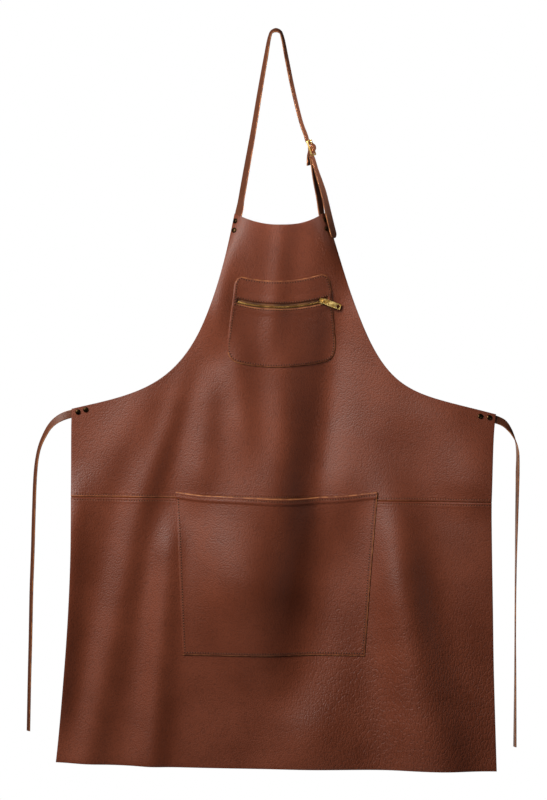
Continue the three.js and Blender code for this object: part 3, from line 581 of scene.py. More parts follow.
for side, spec in ties.items():
    route = [behindRow(*row) for row in spec["behind"]] + [freeRow(*row) for row in spec["free"]]
    tie, centre = makeStrap(side + "TieLeather", route, strapCut["tieWidth"])
    settle(tie, ["tie_" + side])
    tuple(overLeather(*spec["exit"], behindLift) * mm)
    print(side, "tie:", round(float(np.linalg.norm(np.diff(centre, axis=0), axis=1).sum())), "mm")


# Stitches: one bead of thread and one needle hole, copied along rows over the leather.
stitch = {"pitch": 3.9, "long": 2.3, "wide": 0.9, "high": 0.55, "sunkEnds": 0.3, "hole": 0.95, "holeSides": 6,
          "holeLift": 0.04, "holeDeep": 0.3, "step": 0.8, "proud": 0.12, "endsFrom": 0.8}
bead = primitive(bpy.ops.mesh.primitive_uv_sphere_add, "bead", segments=6, ring_count=4, radius=1,
                 rotation=(0, math.pi / 2, 0))
startEdit()
selectAll()
bpy.ops.transform.resize(value=(stitch["long"] / 2, stitch["wide"] / 2, stitch["high"] / 2))
choose("VERT", lambda v: abs(v.co.x) > stitch["endsFrom"] * stitch["long"] / 2)
bpy.ops.transform.translate(value=(0, 0, -stitch["sunkEnds"] * stitch["high"]))
endEdit()
beadPoints, beadFaces = takeMesh(bead)


def makeStitches(name, rows):
    points, faces, marks = [], [], []
    sides = stitch["holeSides"]
    for line, lift in rows:
        line = np.asarray(line, float)
        lift = np.broadcast_to(np.asarray(lift, float), len(line))
        path = overLeather(line[:, 0], line[:, 1], lift)
        far = np.concatenate([[0], np.cumsum(np.linalg.norm(np.diff(path, axis=0), axis=1))])
        count = int(far[-1] / stitch["pitch"])
        for here in (np.arange(count) + 0.5) * far[-1] / count:
            x, z, high = (np.interp(here, far, v) for v in (line[:, 0], line[:, 1], lift))
            ahead, back = (np.array([np.interp(here + step, far, path[:, k]) for k in range(3)])
                           for step in (stitch["step"], -stitch["step"]))
            axes = axesOver(x, z, ahead - back)
            along, side, up = axes
            start = len(points)
            points.extend((overLeather(x, z, high) + beadPoints @ axes).tolist())
            faces.extend([[start + i for i in f] for f in beadFaces])
            marks.extend([0] * len(beadFaces))
            start = len(points)
            middle = overLeather(x, z, high + stitch["holeLift"]) + along * stitch["pitch"] / 2
            for angle in np.arange(sides) * 2 * math.pi / sides:
                out = along * math.cos(angle) + side * math.sin(angle)
                points.append((middle + stitch["hole"] * out).tolist())
            points.append((middle - up * stitch["holeDeep"]).tolist())
            faces.extend([[start + (k + 1) % sides, start + k, start + sides] for k in range(sides)])
            faces.append([start + k for k in range(sides)])
            marks.extend([1] * (sides + 1))
    piece = newPiece(name, points, faces, marks, [thread, needleHole])
    smoothByAngle(piece, 60)
    settle(piece, [])
    return piece


# Leather patches: a flat grid of places, a front and a back over the leather, and a rim all round.
def gridFaces(rows, columns):
    faces = []
    for r in range(rows - 1):
        for c in range(columns - 1):
            a = r * columns + c
            faces.append([a, a + columns, a + columns + 1, a + 1])
    return faces


def thickPatch(name, x, z, faces, frontLift, backLift, materials, frontMarks=None):
    count = len(x)
    points = np.vstack([overLeather(x, z, frontLift), overLeather(x, z, backLift)])
    edges = {(a, b) for f in faces for a, b in zip(f, f[1:] + f[:1])}
    rim = [(a, b) for a, b in edges if (b, a) not in edges]
    rim.sort()
    walls = [[b, a, a + count, b + count] for a, b in rim]
    behind = [[i + count for i in reversed(f)] for f in faces]
    marks = list(frontMarks or [0] * len(faces)) + [2] * len(behind) + [1] * len(walls)
    return newPiece(name, points, faces + behind + walls, marks, materials)


# Bib and skirt: joined by a turned seam at the waist, which sinks in and puffs up beside its stitches.
body = {"columns": 210, "armholeRows": 96, "waistRows": 46, "skirtRows": 116, "stitchFrom": 4.2,
        "edgeRound": 0.5, "tanFrom": 0.9, "tanTo": 2.6, "bunch": (1.5, 1.6, 1.4),
        # each ridge or groove is its rise, its distance from the seam and its reach
        "ridges": [(-1.3, 0, 0.7), (0.45, 2.2, 1.3), (-0.3, 4.2, 0.6), (0.315, 6, 1.6)]}


def seamLift(far):
    return sum(rise * np.exp(-((far - at) / reach) ** 2) for rise, at, reach in body["ridges"])


def makePanel(name, rows, node):
    across, row = np.meshgrid(np.linspace(0, 1, body["columns"] + 1), rows)
    x, z = gridPlace(across, row)
    seamZ = gridPlace(across, np.full_like(row, 2.0))[1]
    lift = seamLift(np.abs(z - seamZ))
    half = apronCut["wall"] / 2
    faces = gridFaces(*x.shape)
    far = (z - seamZ)[:-1, :-1].ravel()
    marks = [3 if body["tanFrom"] < above < body["tanTo"] else 0 for above in far]
    piece = thickPatch(name, x.ravel(), z.ravel(), faces, (lift + half).ravel(), (lift - half).ravel(),
                       [hideGrain, dyedEdge, hideFlesh, hideTanRidge], marks)
    roundEdges(piece, body["edgeRound"], 2, 60)
    smoothByAngle(piece)
    settle(piece, [node])
    print(name, len(piece.data.polygons), "faces")
    return piece


armholeRows = np.linspace(0, 1, body["armholeRows"] + 1) ** body["bunch"][0]
waistRows = 1 + (1 - (1 - np.linspace(0, 1, body["waistRows"] + 1)) ** body["bunch"][1])
skirtRows = 2 + np.linspace(0, 1, body["skirtRows"] + 1) ** body["bunch"][2]
bib = makePanel("bibLeather", np.concatenate([armholeRows, waistRows[1:]]), "bib")
skirt = makePanel("skirtLeather", skirtRows, "skirt")


# The seam's turned-in edges behind, two flat strips, and its two rows of stitches in front.
turned = {"wide": 9, "inner": 0.3, "front": -3.2, "back": -4.6, "count": 160, "fromEdge": 0.004}


def alongSeam(away):
    across = np.linspace(turned["fromEdge"], 1 - turned["fromEdge"], turned["count"])
    x, z = gridPlace(across, np.full(turned["count"], 2.0))
    return np.stack([x, z + away], -1)


for name, away in (("turnedEdgeUpper", (turned["wide"], turned["inner"])),
                   ("turnedEdgeLower", (-turned["inner"], -turned["wide"]))):
    edges = np.vstack([alongSeam(far) for far in away])
    strip = thickPatch(name, edges[:, 0], edges[:, 1], gridFaces(2, turned["count"]), turned["front"],
                       turned["back"], [hideFlesh, dyedEdge, hideGrain])
    smoothByAngle(strip)
    settle(strip, [])
halfWall = apronCut["wall"] / 2
seamHeight = halfWall + seamLift(body["stitchFrom"]) + stitch["proud"]
seamStitches = makeStitches("waistSeamStitches", [(alongSeam(body["stitchFrom"]), seamHeight),
                                                  (alongSeam(-body["stitchFrom"]), seamHeight)])
print("bib and skirt done")


# A line moved sideways by a distance, to the left of the way it runs.
def beside(line, away, closed):
    line = np.asarray(line, float)
    if closed:
        run = np.roll(line, -1, 0) - np.roll(line, 1, 0)
    else:
        run = np.gradient(line, axis=0)
    run /= np.linalg.norm(run, axis=1, keepdims=True)
    moved = line + away * np.stack([-run[:, 1], run[:, 0]], -1)
    return np.vstack([moved, moved[:1]]) if closed else moved


# Chest pocket: a patch with round corners, a slot for its zip and a pale skived edge, stitched all round.
chest = {
    # each row is a point and the bend of the line that leads to it
    "outline": [(-52, -369, -61, -370), (66, -365, 8, -383), (82, -382, 79, -363), (90, -466, 86, -424),
                (72, -496, 91, -494), (-54, -499, 4, -512), (-73, -468, -75, -495), (-63, -384, -69, -426)],
    "skive": 1.3, "thinEdge": 0.5, "mesh": 2.6, "stitchIn": 3.4, "zipStitch": 6.1, "perRow": 14, "gap": 0.3,
    "sideReach": 8, "join": 0.12, "slotPoints": 28, "stitchPoints": 60, "stitchPast": 3, "stitchProud": 0.1,
    # the patch rises over the zip: how far, how far above and below it, how far to its sides, and the slope
    "overZip": 0.9, "overHalf": 16, "overMiddle": 9, "overSide": 80, "overSlope": 6,
    "meshX": (-76, 92), "meshZ": (-508, -362), "shadedEdgeX": -59, "shadedEdgeZ": (-482, -377),
}
zipLine = {"middle": 3, "half": 60, "endZ": -406, "sag": 7.5, "slot": 3.8, "slotPoint": 1.2, "tape": 8,
           "from": -58, "to": 77}


def zipZ(x):
    return zipLine["endZ"] - zipLine["sag"] * (1 - ((x - zipLine["middle"]) / zipLine["half"]) ** 2)


def bentLine(rows, perRow):
    line, start = [], rows[-1][:2]
    for x, z, bendX, bendZ in rows:
        line.extend(bezier([start, (bendX, bendZ), (x, z)], np.arange(perRow) / perRow).tolist())
        start = (x, z)
    return line


def chestBack(x, z):
    near = smooth((chest["overHalf"] - np.abs(z - zipZ(x))) / chest["overSlope"])
    near = near * smooth((chest["overSide"] - np.abs(x - chest["overMiddle"])) / chest["overSlope"])
    return halfWall + chest["gap"] + chest["overZip"] * near


def nearest(points, place):
    onSide = [i for i, p in enumerate(points) if (p[0] - place[0]) * np.sign(place[0]) > -chest["sideReach"]]
    return min(onSide, key=lambda i: abs(points[i][1] - place[1]))


outline = bentLine(chest["outline"], chest["perRow"])
slotXs = np.linspace(zipLine["from"], zipLine["to"], chest["slotPoints"])
slotUpper = [(x, zipZ(x) + zipLine["slot"]) for x in slotXs]
slotLower = [(x, zipZ(x) - zipLine["slot"]) for x in slotXs]
slotLeft, slotRight = ((x, float(zipZ(x)))
                       for x in (zipLine["from"] - zipLine["slotPoint"], zipLine["to"] + zipLine["slotPoint"]))
leftIndex, rightIndex = nearest(outline, slotLeft), nearest(outline, slotRight)
above = outline[leftIndex:] + outline[:rightIndex + 1] + [slotRight] + slotUpper[::-1] + [slotLeft]
under = outline[rightIndex:leftIndex + 1] + [slotLeft] + slotLower + [slotRight]

flat = bmesh.new()
corners = {}
for loop in (above, under):
    for x, z in loop:
        key = (round(x, 4), round(z, 4))
        if key not in corners:
            corners[key] = flat.verts.new((x, 0, z))
    flat.faces.new([corners[(round(x, 4), round(z, 4))] for x, z in loop[::-1]])
flat.normal_update()
ringFaces = bmesh.ops.inset_region(flat, faces=flat.faces[:], thickness=chest["skive"], use_boundary=True,
                                   use_even_offset=True)["faces"]
for f in ringFaces:
    f.material_index = 1
fullness = flat.verts.layers.float.new("fullness")
for v in flat.verts:
    v[fullness] = 0 if v.is_boundary else 1
for normal, reach in (((1, 0, 0), chest["meshX"]), ((0, 0, 1), chest["meshZ"])):
    for cut in np.arange(*reach, chest["mesh"]):
        bmesh.ops.bisect_plane(flat, geom=flat.verts[:] + flat.edges[:] + flat.faces[:], dist=chest["join"],
                               plane_co=[n * cut for n in normal], plane_no=normal)
flat.verts.index_update()
flatX = np.array([v.co.x for v in flat.verts])
flatZ = np.array([v.co.z for v in flat.verts])
full = np.array([v[fullness] for v in flat.verts])
faces = [[v.index for v in f.verts] for f in flat.faces]
marks = []
for f in flat.faces:
    spot = f.calc_center_median()
    # Faces over the zip's upper slot edge and on the left side take the grain's darker colour in place of the
    # pale edge: a painted shade.
    overZip = 0 < spot.z - float(zipZ(spot.x)) < zipLine["slot"] + chest["skive"] + 1
    shadedLeft = spot.x < chest["shadedEdgeX"] and chest["shadedEdgeZ"][0] < spot.z < chest["shadedEdgeZ"][1]
    marks.append(0 if overZip or shadedLeft else f.material_index)  # the pale edge shows on the other sides
flat.free()
back = chestBack(flatX, flatZ)
front = back + chest["thinEdge"] + (apronCut["wall"] - chest["thinEdge"]) * full
stitchedLine = np.array(beside(outline, -chest["stitchIn"], True))
chestPocket = thickPatch("chestPocketLeather", flatX, flatZ, faces, front, back,
                         [hideGrain, cutEdge, hideFlesh], marks)
smoothByAngle(chestPocket)
settle(chestPocket, ["chest_pocket"])

stitchXs = np.linspace(zipLine["from"] - chest["stitchPast"], zipLine["to"] + chest["stitchPast"],
                       chest["stitchPoints"])
zipFrame = [(x, zipZ(x) + chest["zipStitch"]) for x in stitchXs]
zipFrame += [(x, zipZ(x) - chest["zipStitch"]) for x in stitchXs[::-1]] + zipFrame[:1]
rows = []
for line in (stitchedLine, np.array(zipFrame)):
    rows.append((line, chestBack(line[:, 0], line[:, 1]) + apronCut["wall"] + chest["stitchProud"]))
chestStitches = makeStitches("chestPocketStitches", rows)
print("chest pocket:", len(chestPocket.data.polygons), "faces")


# Lower pocket: a wide patch, tight at its stitched sides and bottom, with a rolled hem at its slack mouth.
lowerPocket = {
    "left": [(-150, -691), (-145, -813), (-139.5, -935)], "right": [(152.5, -691.5), (143, -814), (133, -937)],
    "sag": 9.4, "gap": 0.3, "open": 13, "middle": 1, "half": 151, "top": -691, "deep": 242, "wide": 290,
    "columns": 112, "rows": 96, "skive": 0.7, "thinEdge": 1.1, "paleEdge": 1.7,
    "stitchIn": 3.6, "stitchFrom": 0.03, "stitchPoints": 90, "bunch": 1.5,
    # the rolled hem: its height, end and slope, its stitches' distance, groove and reach, and its rounded lip
    "hem": 1.3, "hemEnds": 9.5, "hemSlope": 2.4, "hemStitch": 4.2, "groove": 0.35, "grooveReach": 0.7,
    "lip": 1.8,
}


def pocketPlace(a, b):
    left, right = bezier(lowerPocket["left"], b), bezier(lowerPocket["right"], b)
    x = left[..., 0] + (right[..., 0] - left[..., 0]) * a
    z = left[..., 1] + (right[..., 1] - left[..., 1]) * a
    return x, z - lowerPocket["sag"] * (1 - b) * (1 - (2 * a - 1) ** 2)


def pocketBack(x, z):
    across = np.maximum(0, 1 - ((x - lowerPocket["middle"]) / lowerPocket["half"]) ** 2)
    rise = np.clip(1 + (z - lowerPocket["top"]) / lowerPocket["deep"], 0, 1)
    return halfWall + lowerPocket["gap"] + lowerPocket["open"] * smooth(across) * smooth(rise)


def hemLift(far):
    slope = lowerPocket["hemSlope"]
    rolled = lowerPocket["hem"] * (1 - smooth((far - lowerPocket["hemEnds"] + slope / 2) / slope))
    groove = np.exp(-((far - lowerPocket["hemStitch"]) / lowerPocket["grooveReach"]) ** 2)
    lip = np.clip(1 - far / lowerPocket["lip"], 0, 1) ** 2
    return rolled - lowerPocket["groove"] * groove - lowerPocket["hem"] * lip


ringAcross, ringDown = (lowerPocket["skive"] / lowerPocket[way] for way in ("wide", "deep"))
columns = np.concatenate([[0], np.linspace(ringAcross, 1 - ringAcross, lowerPocket["columns"]), [1]])
downRows = np.concatenate([np.linspace(0, 1 - ringDown, lowerPocket["rows"]) ** lowerPocket["bunch"], [1]])
across, row = np.meshgrid(columns, downRows)
x, z = pocketPlace(across, row)
mouthZ = pocketPlace(across, np.zeros_like(row))[1]
atRim = np.zeros_like(x)
atRim[:, 0] = atRim[:, -1] = atRim[-1, :] = 1
back = pocketBack(x, z)
front = back + apronCut["wall"] + hemLift(mouthZ - z) - (apronCut["wall"] - lowerPocket["thinEdge"]) * atRim
faces = gridFaces(*x.shape)
wide = x.shape[1] - 1
atMouth = (mouthZ - z)[1:, :-1].ravel() < lowerPocket["paleEdge"]
# The pale cut edge shows at the right side, the bottom and the mouth; the left side keeps the grain's darker
# colour, a painted shade.
pale = [i % wide == wide - 1 or i // wide == x.shape[0] - 2 or atMouth[i] for i in range(len(faces))]
pocket = thickPatch("lowerPocketLeather", x.ravel(), z.ravel(), faces, front.ravel(), back.ravel(),
                    [hideGrain, cutEdge, hideFlesh], [int(edge) for edge in pale])
smoothByAngle(pocket)
settle(pocket, ["lower_pocket"])


def pocketLine(a, b):
    a, b = np.broadcast_arrays(np.asarray(a, float), np.asarray(b, float))
    x, z = pocketPlace(a, b)
    top = pocketPlace(a, np.zeros_like(b))[1]
    return np.stack([x, z], -1), pocketBack(x, z) + apronCut["wall"] + hemLift(top - z) + stitch["proud"]


inAcross, inDown = (lowerPocket["stitchIn"] / lowerPocket[way] for way in ("wide", "deep"))
run = np.linspace(0, 1, lowerPocket["stitchPoints"])
acrossRun = inAcross + run * (1 - 2 * inAcross)
downRun = lowerPocket["stitchFrom"] + run * (1 - lowerPocket["stitchFrom"] - inDown)
pocketStitches = makeStitches("lowerPocketStitches", [
    pocketLine(acrossRun, lowerPocket["hemStitch"] / lowerPocket["deep"]), pocketLine(inAcross, downRun),
    pocketLine(1 - inAcross, downRun), pocketLine(acrossRun, 1 - inDown)])
print("lower pocket:", len(pocket.data.polygons), "faces")


# Neck strap and buckle strap. The buckle's own axes: across its width, out of its face and down the strap.
buckleSetup = {"at": (53.2, 18.5, -173.5), "down": (0.3, 0.05, -0.95), "face": (0.94, -0.34, 0), "width": 20,
               "height": 25, "bar": 2, "thick": 2, "corner": 3.2, "edge": 0.6}
buckleDown = Vector(buckleSetup["down"]).normalized()
buckleFace = Vector(buckleSetup["face"])
buckleFace = (buckleFace - buckleDown * buckleFace.dot(buckleDown)).normalized()
buckleAcross = buckleFace.cross(buckleDown)


def buckleRow(out, down, side):
    place = Vector(buckleSetup["at"]) + buckleFace * out + buckleDown * down
    return np.array(place), np.array(buckleAcross) * side


neckStrap = {
    "corner": [(-64.3, -313, -35, 0), (-62.3, -299, -33, 0), (-60.5, -285, -33, 0), (-58.5, -275, -34, 0)],
    "loop": [(-53, 26.5, -255, -37, 0), (-45, 21.8, -210, -35, 0), (-34, 15.5, -149, -30, 0),
             (-24, 9.3, -89, -26, 0), (-15, 4, -38, -22, 0), (-9.6, 0.8, -9, -15, 8), (-6.6, 0, -1.6, -8, 20),
             (0, 0, 1.2, 0, 28), (6.6, 0, -1.6, 8, 20), (9.6, 0.8, -9, 15, 8), (15.5, 4, -38, 20, 0),
             (26, 9, -89, 21, 0), (38.5, 14, -138, 20, 0)],
    "throughBuckle": [(-2.5, -20), (-2.5, -10.6), (0, -7.2), (3.7, -2.9), (4.4, 0), (3.5, 3.2), (0.6, 6.2),
                      (-2.6, 10.4), (-2.6, 18)],
    "tongue": [(60.4, 18, -206, 24, 0), (65.2, 17.5, -221, 30, 0), (71, 18, -239, 34, 0),
               (76, 19.5, -260, 37, 0), (82, 21.5, -285, 38, 0), (86, 22.5, -301, 38, 0),
               (87.2, 22.8, -306, 38, 0), (88, 23, -309.5, 38, 0)],
}
route = [behindRow(*row) for row in neckStrap["corner"]] + [freeRow(*row) for row in neckStrap["loop"]]
route += [buckleRow(*row, 1) for row in neckStrap["throughBuckle"]]
route += [freeRow(*row) for row in neckStrap["tongue"]]
strap, centre = makeStrap("neckStrapLeather", route, strapCut["neckWidth"], roundEnd=True)
settle(strap, ["neck_strap"])

buckleStrap = {
    "corner": [(77, -309, -148, 0), (75.3, -296, -148, 0), (73, -282, -146, 0), (71, -273, -144, 0)],
    "rise": [(65.3, 25, -250, -145, 0), (58.8, 22, -219, -152, 0)],
    "roundBar": [(-4.75, 18), (-4.6, 10), (-1.1, 4.8), (2, 1.6), (2.2, -0.4), (1.5, -1.7), (0, -2.25),
                 (-1.5, -1.7), (-2.2, 0), (-3.2, 3.2), (-6.9, 9.4), (-9.6, 16), (-12.5, 24)],
}
route = [behindRow(*row) for row in buckleStrap["corner"]] + [freeRow(*row) for row in buckleStrap["rise"]]
route += [buckleRow(*row, -1) for row in buckleStrap["roundBar"]]
shortStrap, centre = makeStrap("buckleStrapLeather", route, strapCut["neckWidth"])
settle(shortStrap, ["buckle_strap"])
print("straps done")


# Buckle frame: a grid of two windows, inset to bars, rounded at its corners, extruded and bevelled.
def axesAt(place, across, out, up):
    turn = Matrix((across, out, up)).transposed().to_4x4()
    return Matrix.Translation(Vector(place) * mm) @ turn


buckleAxes = axesAt(buckleSetup["at"], buckleAcross, -buckleFace, -buckleDown)
bar, wide, high = (buckleSetup["bar"] * mm, buckleSetup["width"] / 2 * mm, buckleSetup["height"] / 2 * mm)
buckleFrame = primitive(bpy.ops.mesh.primitive_grid_add, "buckleFrameBrass",
                        (2 * wide - bar, 2 * high - bar, 1), x_subdivisions=1, y_subdivisions=2, size=1,
                        rotation=(math.pi / 2, 0, 0))
startEdit()
bpy.ops.mesh.select_mode(type="FACE")
selectAll()
bpy.ops.mesh.inset(thickness=bar / 2, use_individual=True)
bpy.ops.mesh.delete(type="FACE")
choose("VERT", lambda v: abs(v.co.x) > wide - 0.6 * bar or abs(v.co.z) > high - 0.6 * bar)
bpy.ops.transform.resize(value=(2 * wide / (2 * wide - bar), 1, 2 * high / (2 * high - bar)))
choose("VERT", lambda v: abs(v.co.x) > wide - 0.15 * bar and abs(v.co.z) > high - 0.15 * bar)
bpy.ops.mesh.bevel(offset=buckleSetup["corner"] * mm, segments=5, affect="VERTICES")
selectAll()
extrude(0, buckleSetup["thick"] * mm, 0)
faceOut()
bpy.ops.transform.translate(value=(0, -buckleSetup["thick"] / 2 * mm, 0))
endEdit()
roundEdges(buckleFrame, buckleSetup["edge"], 3, 50)
finishMetal(buckleFrame, brass, 40, "buckle_frame", buckleAxes)

# Prong: a bent wire, curled round the middle bar and flattened to a point at its tip.
prong = {"rows": [(2.3, -13), (2.25, -8), (2.15, -3), (2.1, 0), (1.5, 1.5), (0, 2.1), (-1.5, 1.5), (-2.1, 0),
                  (-1.8, -1.1)], "wire": 0.95, "tip": 0.6, "tipRows": 8}
bpy.ops.object.select_all(action="DESELECT")
bpy.ops.curve.primitive_nurbs_path_add()
prongPiece = bpy.context.object
prongPiece.name = "buckleProngBrass"
wire = prongPiece.data
wire.splines.clear()
run = throughRows(np.array([buckleRow(*row, 1)[0] for row in prong["rows"]]), 4)
spline = wire.splines.new("POLY")
spline.points.add(len(run) - 1)
for k, point in enumerate(run):
    spline.points[k].co = (*(point * mm), 1)
    spline.points[k].radius = prong["tip"] + (1 - prong["tip"]) * min(1, k / prong["tipRows"])
wire.bevel_depth = prong["wire"] * mm
wire.bevel_resolution = 3
wire.use_fill_caps = True
bpy.ops.object.convert(target="MESH")
prongPiece = bpy.context.object
finishMetal(prongPiece, brass, 50, "buckle_prong")
print("buckle done")


# Zip: woven tape behind the slot, and single teeth from the two tapes, modelled once.
tooth = {"pitch": 1.25, "thick": 0.85, "long": 1.9, "high": 1.3, "lift": 1.75, "offset": 0.4, "down": 0.7,
         "from": -57, "to": 64, "flare": 1.15, "edge": 0.22, "tapeFront": 1.7, "tapeBack": 1.1,
         "tapeLeft": 3, "tapeRight": 1, "tapeColumns": 60, "tapeRows": 9}
tapeXs = np.linspace(zipLine["from"] - tooth["tapeLeft"], zipLine["to"] + tooth["tapeRight"],
                     tooth["tapeColumns"])
tapeRows = np.linspace(zipLine["tape"], -zipLine["tape"], tooth["tapeRows"])
across, row = np.meshgrid(tapeXs, tapeRows)
tapeZ = zipZ(across) + row
tape = thickPatch("zipTapeCloth", across.ravel(), tapeZ.ravel(), gridFaces(*across.shape), tooth["tapeFront"],
                  tooth["tapeBack"], [zipCloth] * 3)
smoothByAngle(tape)
settle(tape, ["zip_tape"])

oneTooth = block("tooth", (tooth["thick"], tooth["long"], tooth["high"]))
startEdit()
choose("VERT", lambda v: v.co.y > 0)
bpy.ops.transform.resize(value=(tooth["flare"], 1, 1))
choose("EDGE", lambda e: all(v.co.z > 0 for v in e.verts))
bpy.ops.mesh.bevel(offset=tooth["edge"], segments=1, affect="EDGES")
endEdit()
toothPoints, toothFaces = takeMesh(oneTooth)
points, faces = [], []
for k, toothX in enumerate(np.arange(tooth["from"], tooth["to"], tooth["pitch"])):
    way = 1 if k % 2 else -1
    z = zipZ(toothX) + way * tooth["offset"] - tooth["down"]
    axes = axesOver(toothX, z, np.array([1.0, 0, (zipZ(toothX + 1) - zipZ(toothX - 1)) / 2]))
    start = len(points)
    place = overLeather(toothX, z, tooth["lift"] + tooth["high"] / 2)
    points.extend((place + (toothPoints * [way, way, 1]) @ axes).tolist())
    faces.extend([[start + i for i in f] for f in toothFaces])
teeth = newPiece("zipTeethBrass", points, faces, [0] * len(faces), [zipBrass])
smoothByAngle(teeth, 40)
settle(teeth, ["zip_teeth"])
print("zip teeth:", len(teeth.data.polygons), "faces")


# Slider: a cast body, wider at its mouth, with a bridge, and a flat pull that hangs from the bridge.
sliderCast = {"x": 69, "surface": 3.6, "lift": 0.7, "plate": 1.4, "length": 11, "width": 9.5, "waist": 0.72,
              "corner": 2.4, "stemInset": 2.9, "stem": 1.7, "edge": 0.35, "bridge": 3.2, "bridgeBar": 0.62,
              "bridgeSunk": 0.3, "bridgeLong": 1.4}
pullPlate = {"length": 29, "width": 9, "thick": 1.4, "bar": 1.5, "window": 4.8, "windowLong": 5.5, "hole": 2.4,
             "holeAt": 24.6, "barHeight": 1.35, "droop": 20, "eyeWidth": 0.86, "eyeEnds": 9, "corner": 1.2,
             "edge": 0.28, "cutThrough": 10}
sliderZ = zipZ(sliderCast["x"])
sliderFace = Vector(facing(sliderCast["x"], sliderZ))
sliderRight = (Vector((1, 0, 0)) - sliderFace * sliderFace.x).normalized()
sliderUp = sliderRight.cross(-sliderFace)
sliderAt = overLeather(sliderCast["x"], sliderZ, sliderCast["surface"])
sliderAxes = axesAt(sliderAt, sliderRight, -sliderFace, sliderUp)
plateTop = sliderCast["lift"] + sliderCast["plate"]


def upright(e):
    return abs(e.verts[0].co.y - e.verts[1].co.y) > 1 * mm


slider = block("zipSliderBrass",
               (sliderCast["length"] * mm, sliderCast["plate"] * mm, sliderCast["width"] * mm),
               (0, -(sliderCast["lift"] + sliderCast["plate"] / 2) * mm, 0))
startEdit()
choose("FACE", lambda f: f.normal.x > 0.9)
bpy.ops.transform.resize(value=(1, 1, sliderCast["waist"]))
choose("EDGE", upright)
bpy.ops.mesh.bevel(offset=sliderCast["corner"] * mm, segments=4, affect="EDGES")
choose("FACE", lambda f: f.normal.y > 0.9)  # the stem that runs in the slot
bpy.ops.mesh.inset(thickness=sliderCast["stemInset"] * mm)
extrude(0, sliderCast["stem"] * mm, 0)
endEdit()
roundEdges(slider, sliderCast["edge"], 2, 50)

bridge = primitive(bpy.ops.mesh.primitive_torus_add, "bridge", major_segments=28, minor_segments=10,
                   major_radius=sliderCast["bridge"] * mm, minor_radius=sliderCast["bridgeBar"] * mm,
                   location=(0, -plateTop * mm, 0))
startEdit()
selectAll()
bpy.ops.mesh.bisect(plane_co=(0, (sliderCast["bridgeSunk"] - plateTop) * mm, 0), plane_no=(0, 1, 0),
                    clear_outer=True, use_fill=True)
selectAll()
bpy.ops.transform.resize(value=(1, 1, sliderCast["bridgeLong"]), center_override=(0, 0, 0))
endEdit()
slider.select_set(True)
bpy.context.view_layer.objects.active = slider
bpy.ops.object.join()
finishMetal(slider, brass, 40, "zip_slider", sliderAxes)

pullAxes = sliderAxes @ Matrix.Translation((0, -(plateTop + pullPlate["barHeight"]) * mm, 0)) \
    @ Matrix.Rotation(math.radians(pullPlate["droop"]), 4, "Y")
pullFrom, pullTo, eyeEnds = -pullPlate["bar"] / 2 * mm, pullPlate["length"] * mm, pullPlate["eyeEnds"] * mm
pull = block("zipPullBrass", (pullTo - pullFrom, pullPlate["thick"] * mm, pullPlate["width"] * mm),
             ((pullTo + pullFrom) / 2, 0, 0))
startEdit()
selectAll()
bpy.ops.mesh.bisect(plane_co=(eyeEnds, 0, 0), plane_no=(1, 0, 0))
choose("VERT", lambda v: v.co.x < eyeEnds - 1 * mm)
bpy.ops.transform.resize(value=(1, 1, pullPlate["eyeWidth"]))
choose("EDGE", lambda e: upright(e) and abs(e.verts[0].co.x - eyeEnds) > 4 * mm)
bpy.ops.mesh.bevel(offset=pullPlate["corner"] * mm, segments=4, affect="EDGES")
endEdit()
window = block("window", (pullPlate["windowLong"] * mm, pullPlate["cutThrough"] * mm, pullPlate["window"] * mm),
               ((pullPlate["bar"] + pullPlate["windowLong"]) / 2 * mm, 0, 0))
eyelet = primitive(bpy.ops.mesh.primitive_cylinder_add, "eyelet", vertices=24, radius=pullPlate["hole"] * mm,
                   depth=pullPlate["cutThrough"] * mm, rotation=(math.pi / 2, 0, 0),
                   location=(pullPlate["holeAt"] * mm, 0, 0))
for cutter in (window, eyelet):
    withModifier(pull, "BOOLEAN", {"operation": "DIFFERENCE", "solver": "EXACT", "object": cutter})
    bpy.data.objects.remove(cutter)
roundEdges(pull, pullPlate["edge"], 2, 50)
finishMetal(pull, brass, 40, "zip_pull", pullAxes, "pull")
print("slider and pull done")


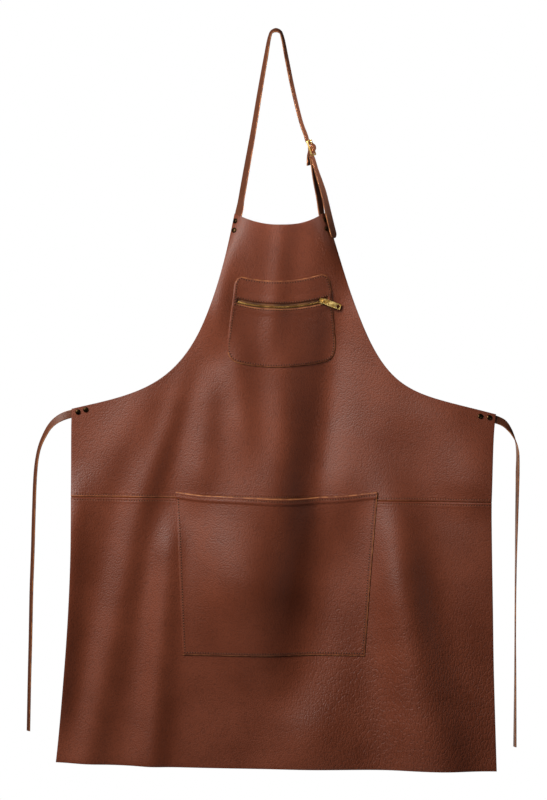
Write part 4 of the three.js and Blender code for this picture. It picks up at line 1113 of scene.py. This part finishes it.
# Rivets: a pressed cap with a raised middle in front, a post, and a flat cap behind; modelled once and copied.
rivetCap = {"cap": 4, "rim": 0.7, "gap": 0.35, "back": 3.4, "backHeight": 0.9, "post": 1.2, "backGap": 0.3,
            "edge": 0.2, "dome": [(0.5, 0.5), (1.1, 0.35), (1.2, 0.15)]}  # the dome's rings: inset and rise
rivetPlaces = {"rivet_bib_left_1": (-60.5, -285), "rivet_bib_left_2": (-62.3, -299),
               "rivet_bib_right_1": (73, -282), "rivet_bib_right_2": (75.3, -296),
               "rivet_waist_left_1": (-297, -571.4), "rivet_waist_left_2": (-285.3, -568),
               "rivet_waist_right_1": (306, -578.2), "rivet_waist_right_2": (319.7, -580)}
capFrom = halfWall + rivetCap["gap"]
backFrom = -(halfWall + strapCut["gap"] + strapCut["thickness"] + rivetCap["backGap"])
rivet = primitive(bpy.ops.mesh.primitive_cylinder_add, "rivet", vertices=24, radius=rivetCap["cap"] * mm,
                  depth=rivetCap["rim"] * mm, location=(0, 0, (capFrom + rivetCap["rim"] / 2) * mm))
startEdit()
for inset, rise in rivetCap["dome"]:
    choose("FACE", lambda f: f.normal.z > 0.9 and len(f.verts) > 4)
    bpy.ops.mesh.inset(thickness=inset * mm)
    bpy.ops.transform.translate(value=(0, 0, rise * mm))
choose("FACE", lambda f: f.normal.z < -0.9 and len(f.verts) > 4)
bpy.ops.mesh.inset(thickness=(rivetCap["cap"] - rivetCap["post"]) * mm)
for down in (backFrom - capFrom, 0):
    extrude(0, 0, down * mm)
bpy.ops.transform.resize(value=(rivetCap["back"] / rivetCap["post"],) * 2 + (1,))
extrude(0, 0, -rivetCap["backHeight"] * mm)
faceOut()
endEdit()
roundEdges(rivet, rivetCap["edge"], 2, 40)
rivet.data.materials.append(darkBrass)
smoothByAngle(rivet, 60)
for node, (x, z) in rivetPlaces.items():
    cap = bpy.data.objects.new(node + "_cap", rivet.data.copy())
    bpy.context.scene.collection.objects.link(cap)
    turn = Vector((0, 0, 1)).rotation_difference(Vector(facing(x, z))).to_matrix().to_4x4()
    cap.data.transform(Matrix.Translation(Vector(overLeather(x, z, 0)) * mm) @ turn)
    settle(cap, [node])
bpy.data.objects.remove(rivet)
print("rivets:", len(rivetPlaces))


# Pale floor under the apron, below the picture.
floorBoard = {"radius": 0.78, "z": -1.7, "thick": 0.02, "edge": 6}
floor = primitive(bpy.ops.mesh.primitive_cylinder_add, "floorBoard", vertices=96, radius=floorBoard["radius"],
                  depth=floorBoard["thick"], location=(0, 0, floorBoard["z"] - floorBoard["thick"] / 2))
roundEdges(floor, floorBoard["edge"], 3, 30)
floor.data.materials.append(paleFloor)

bpy.ops.object.select_all(action="DESELECT")
print("pieces done")
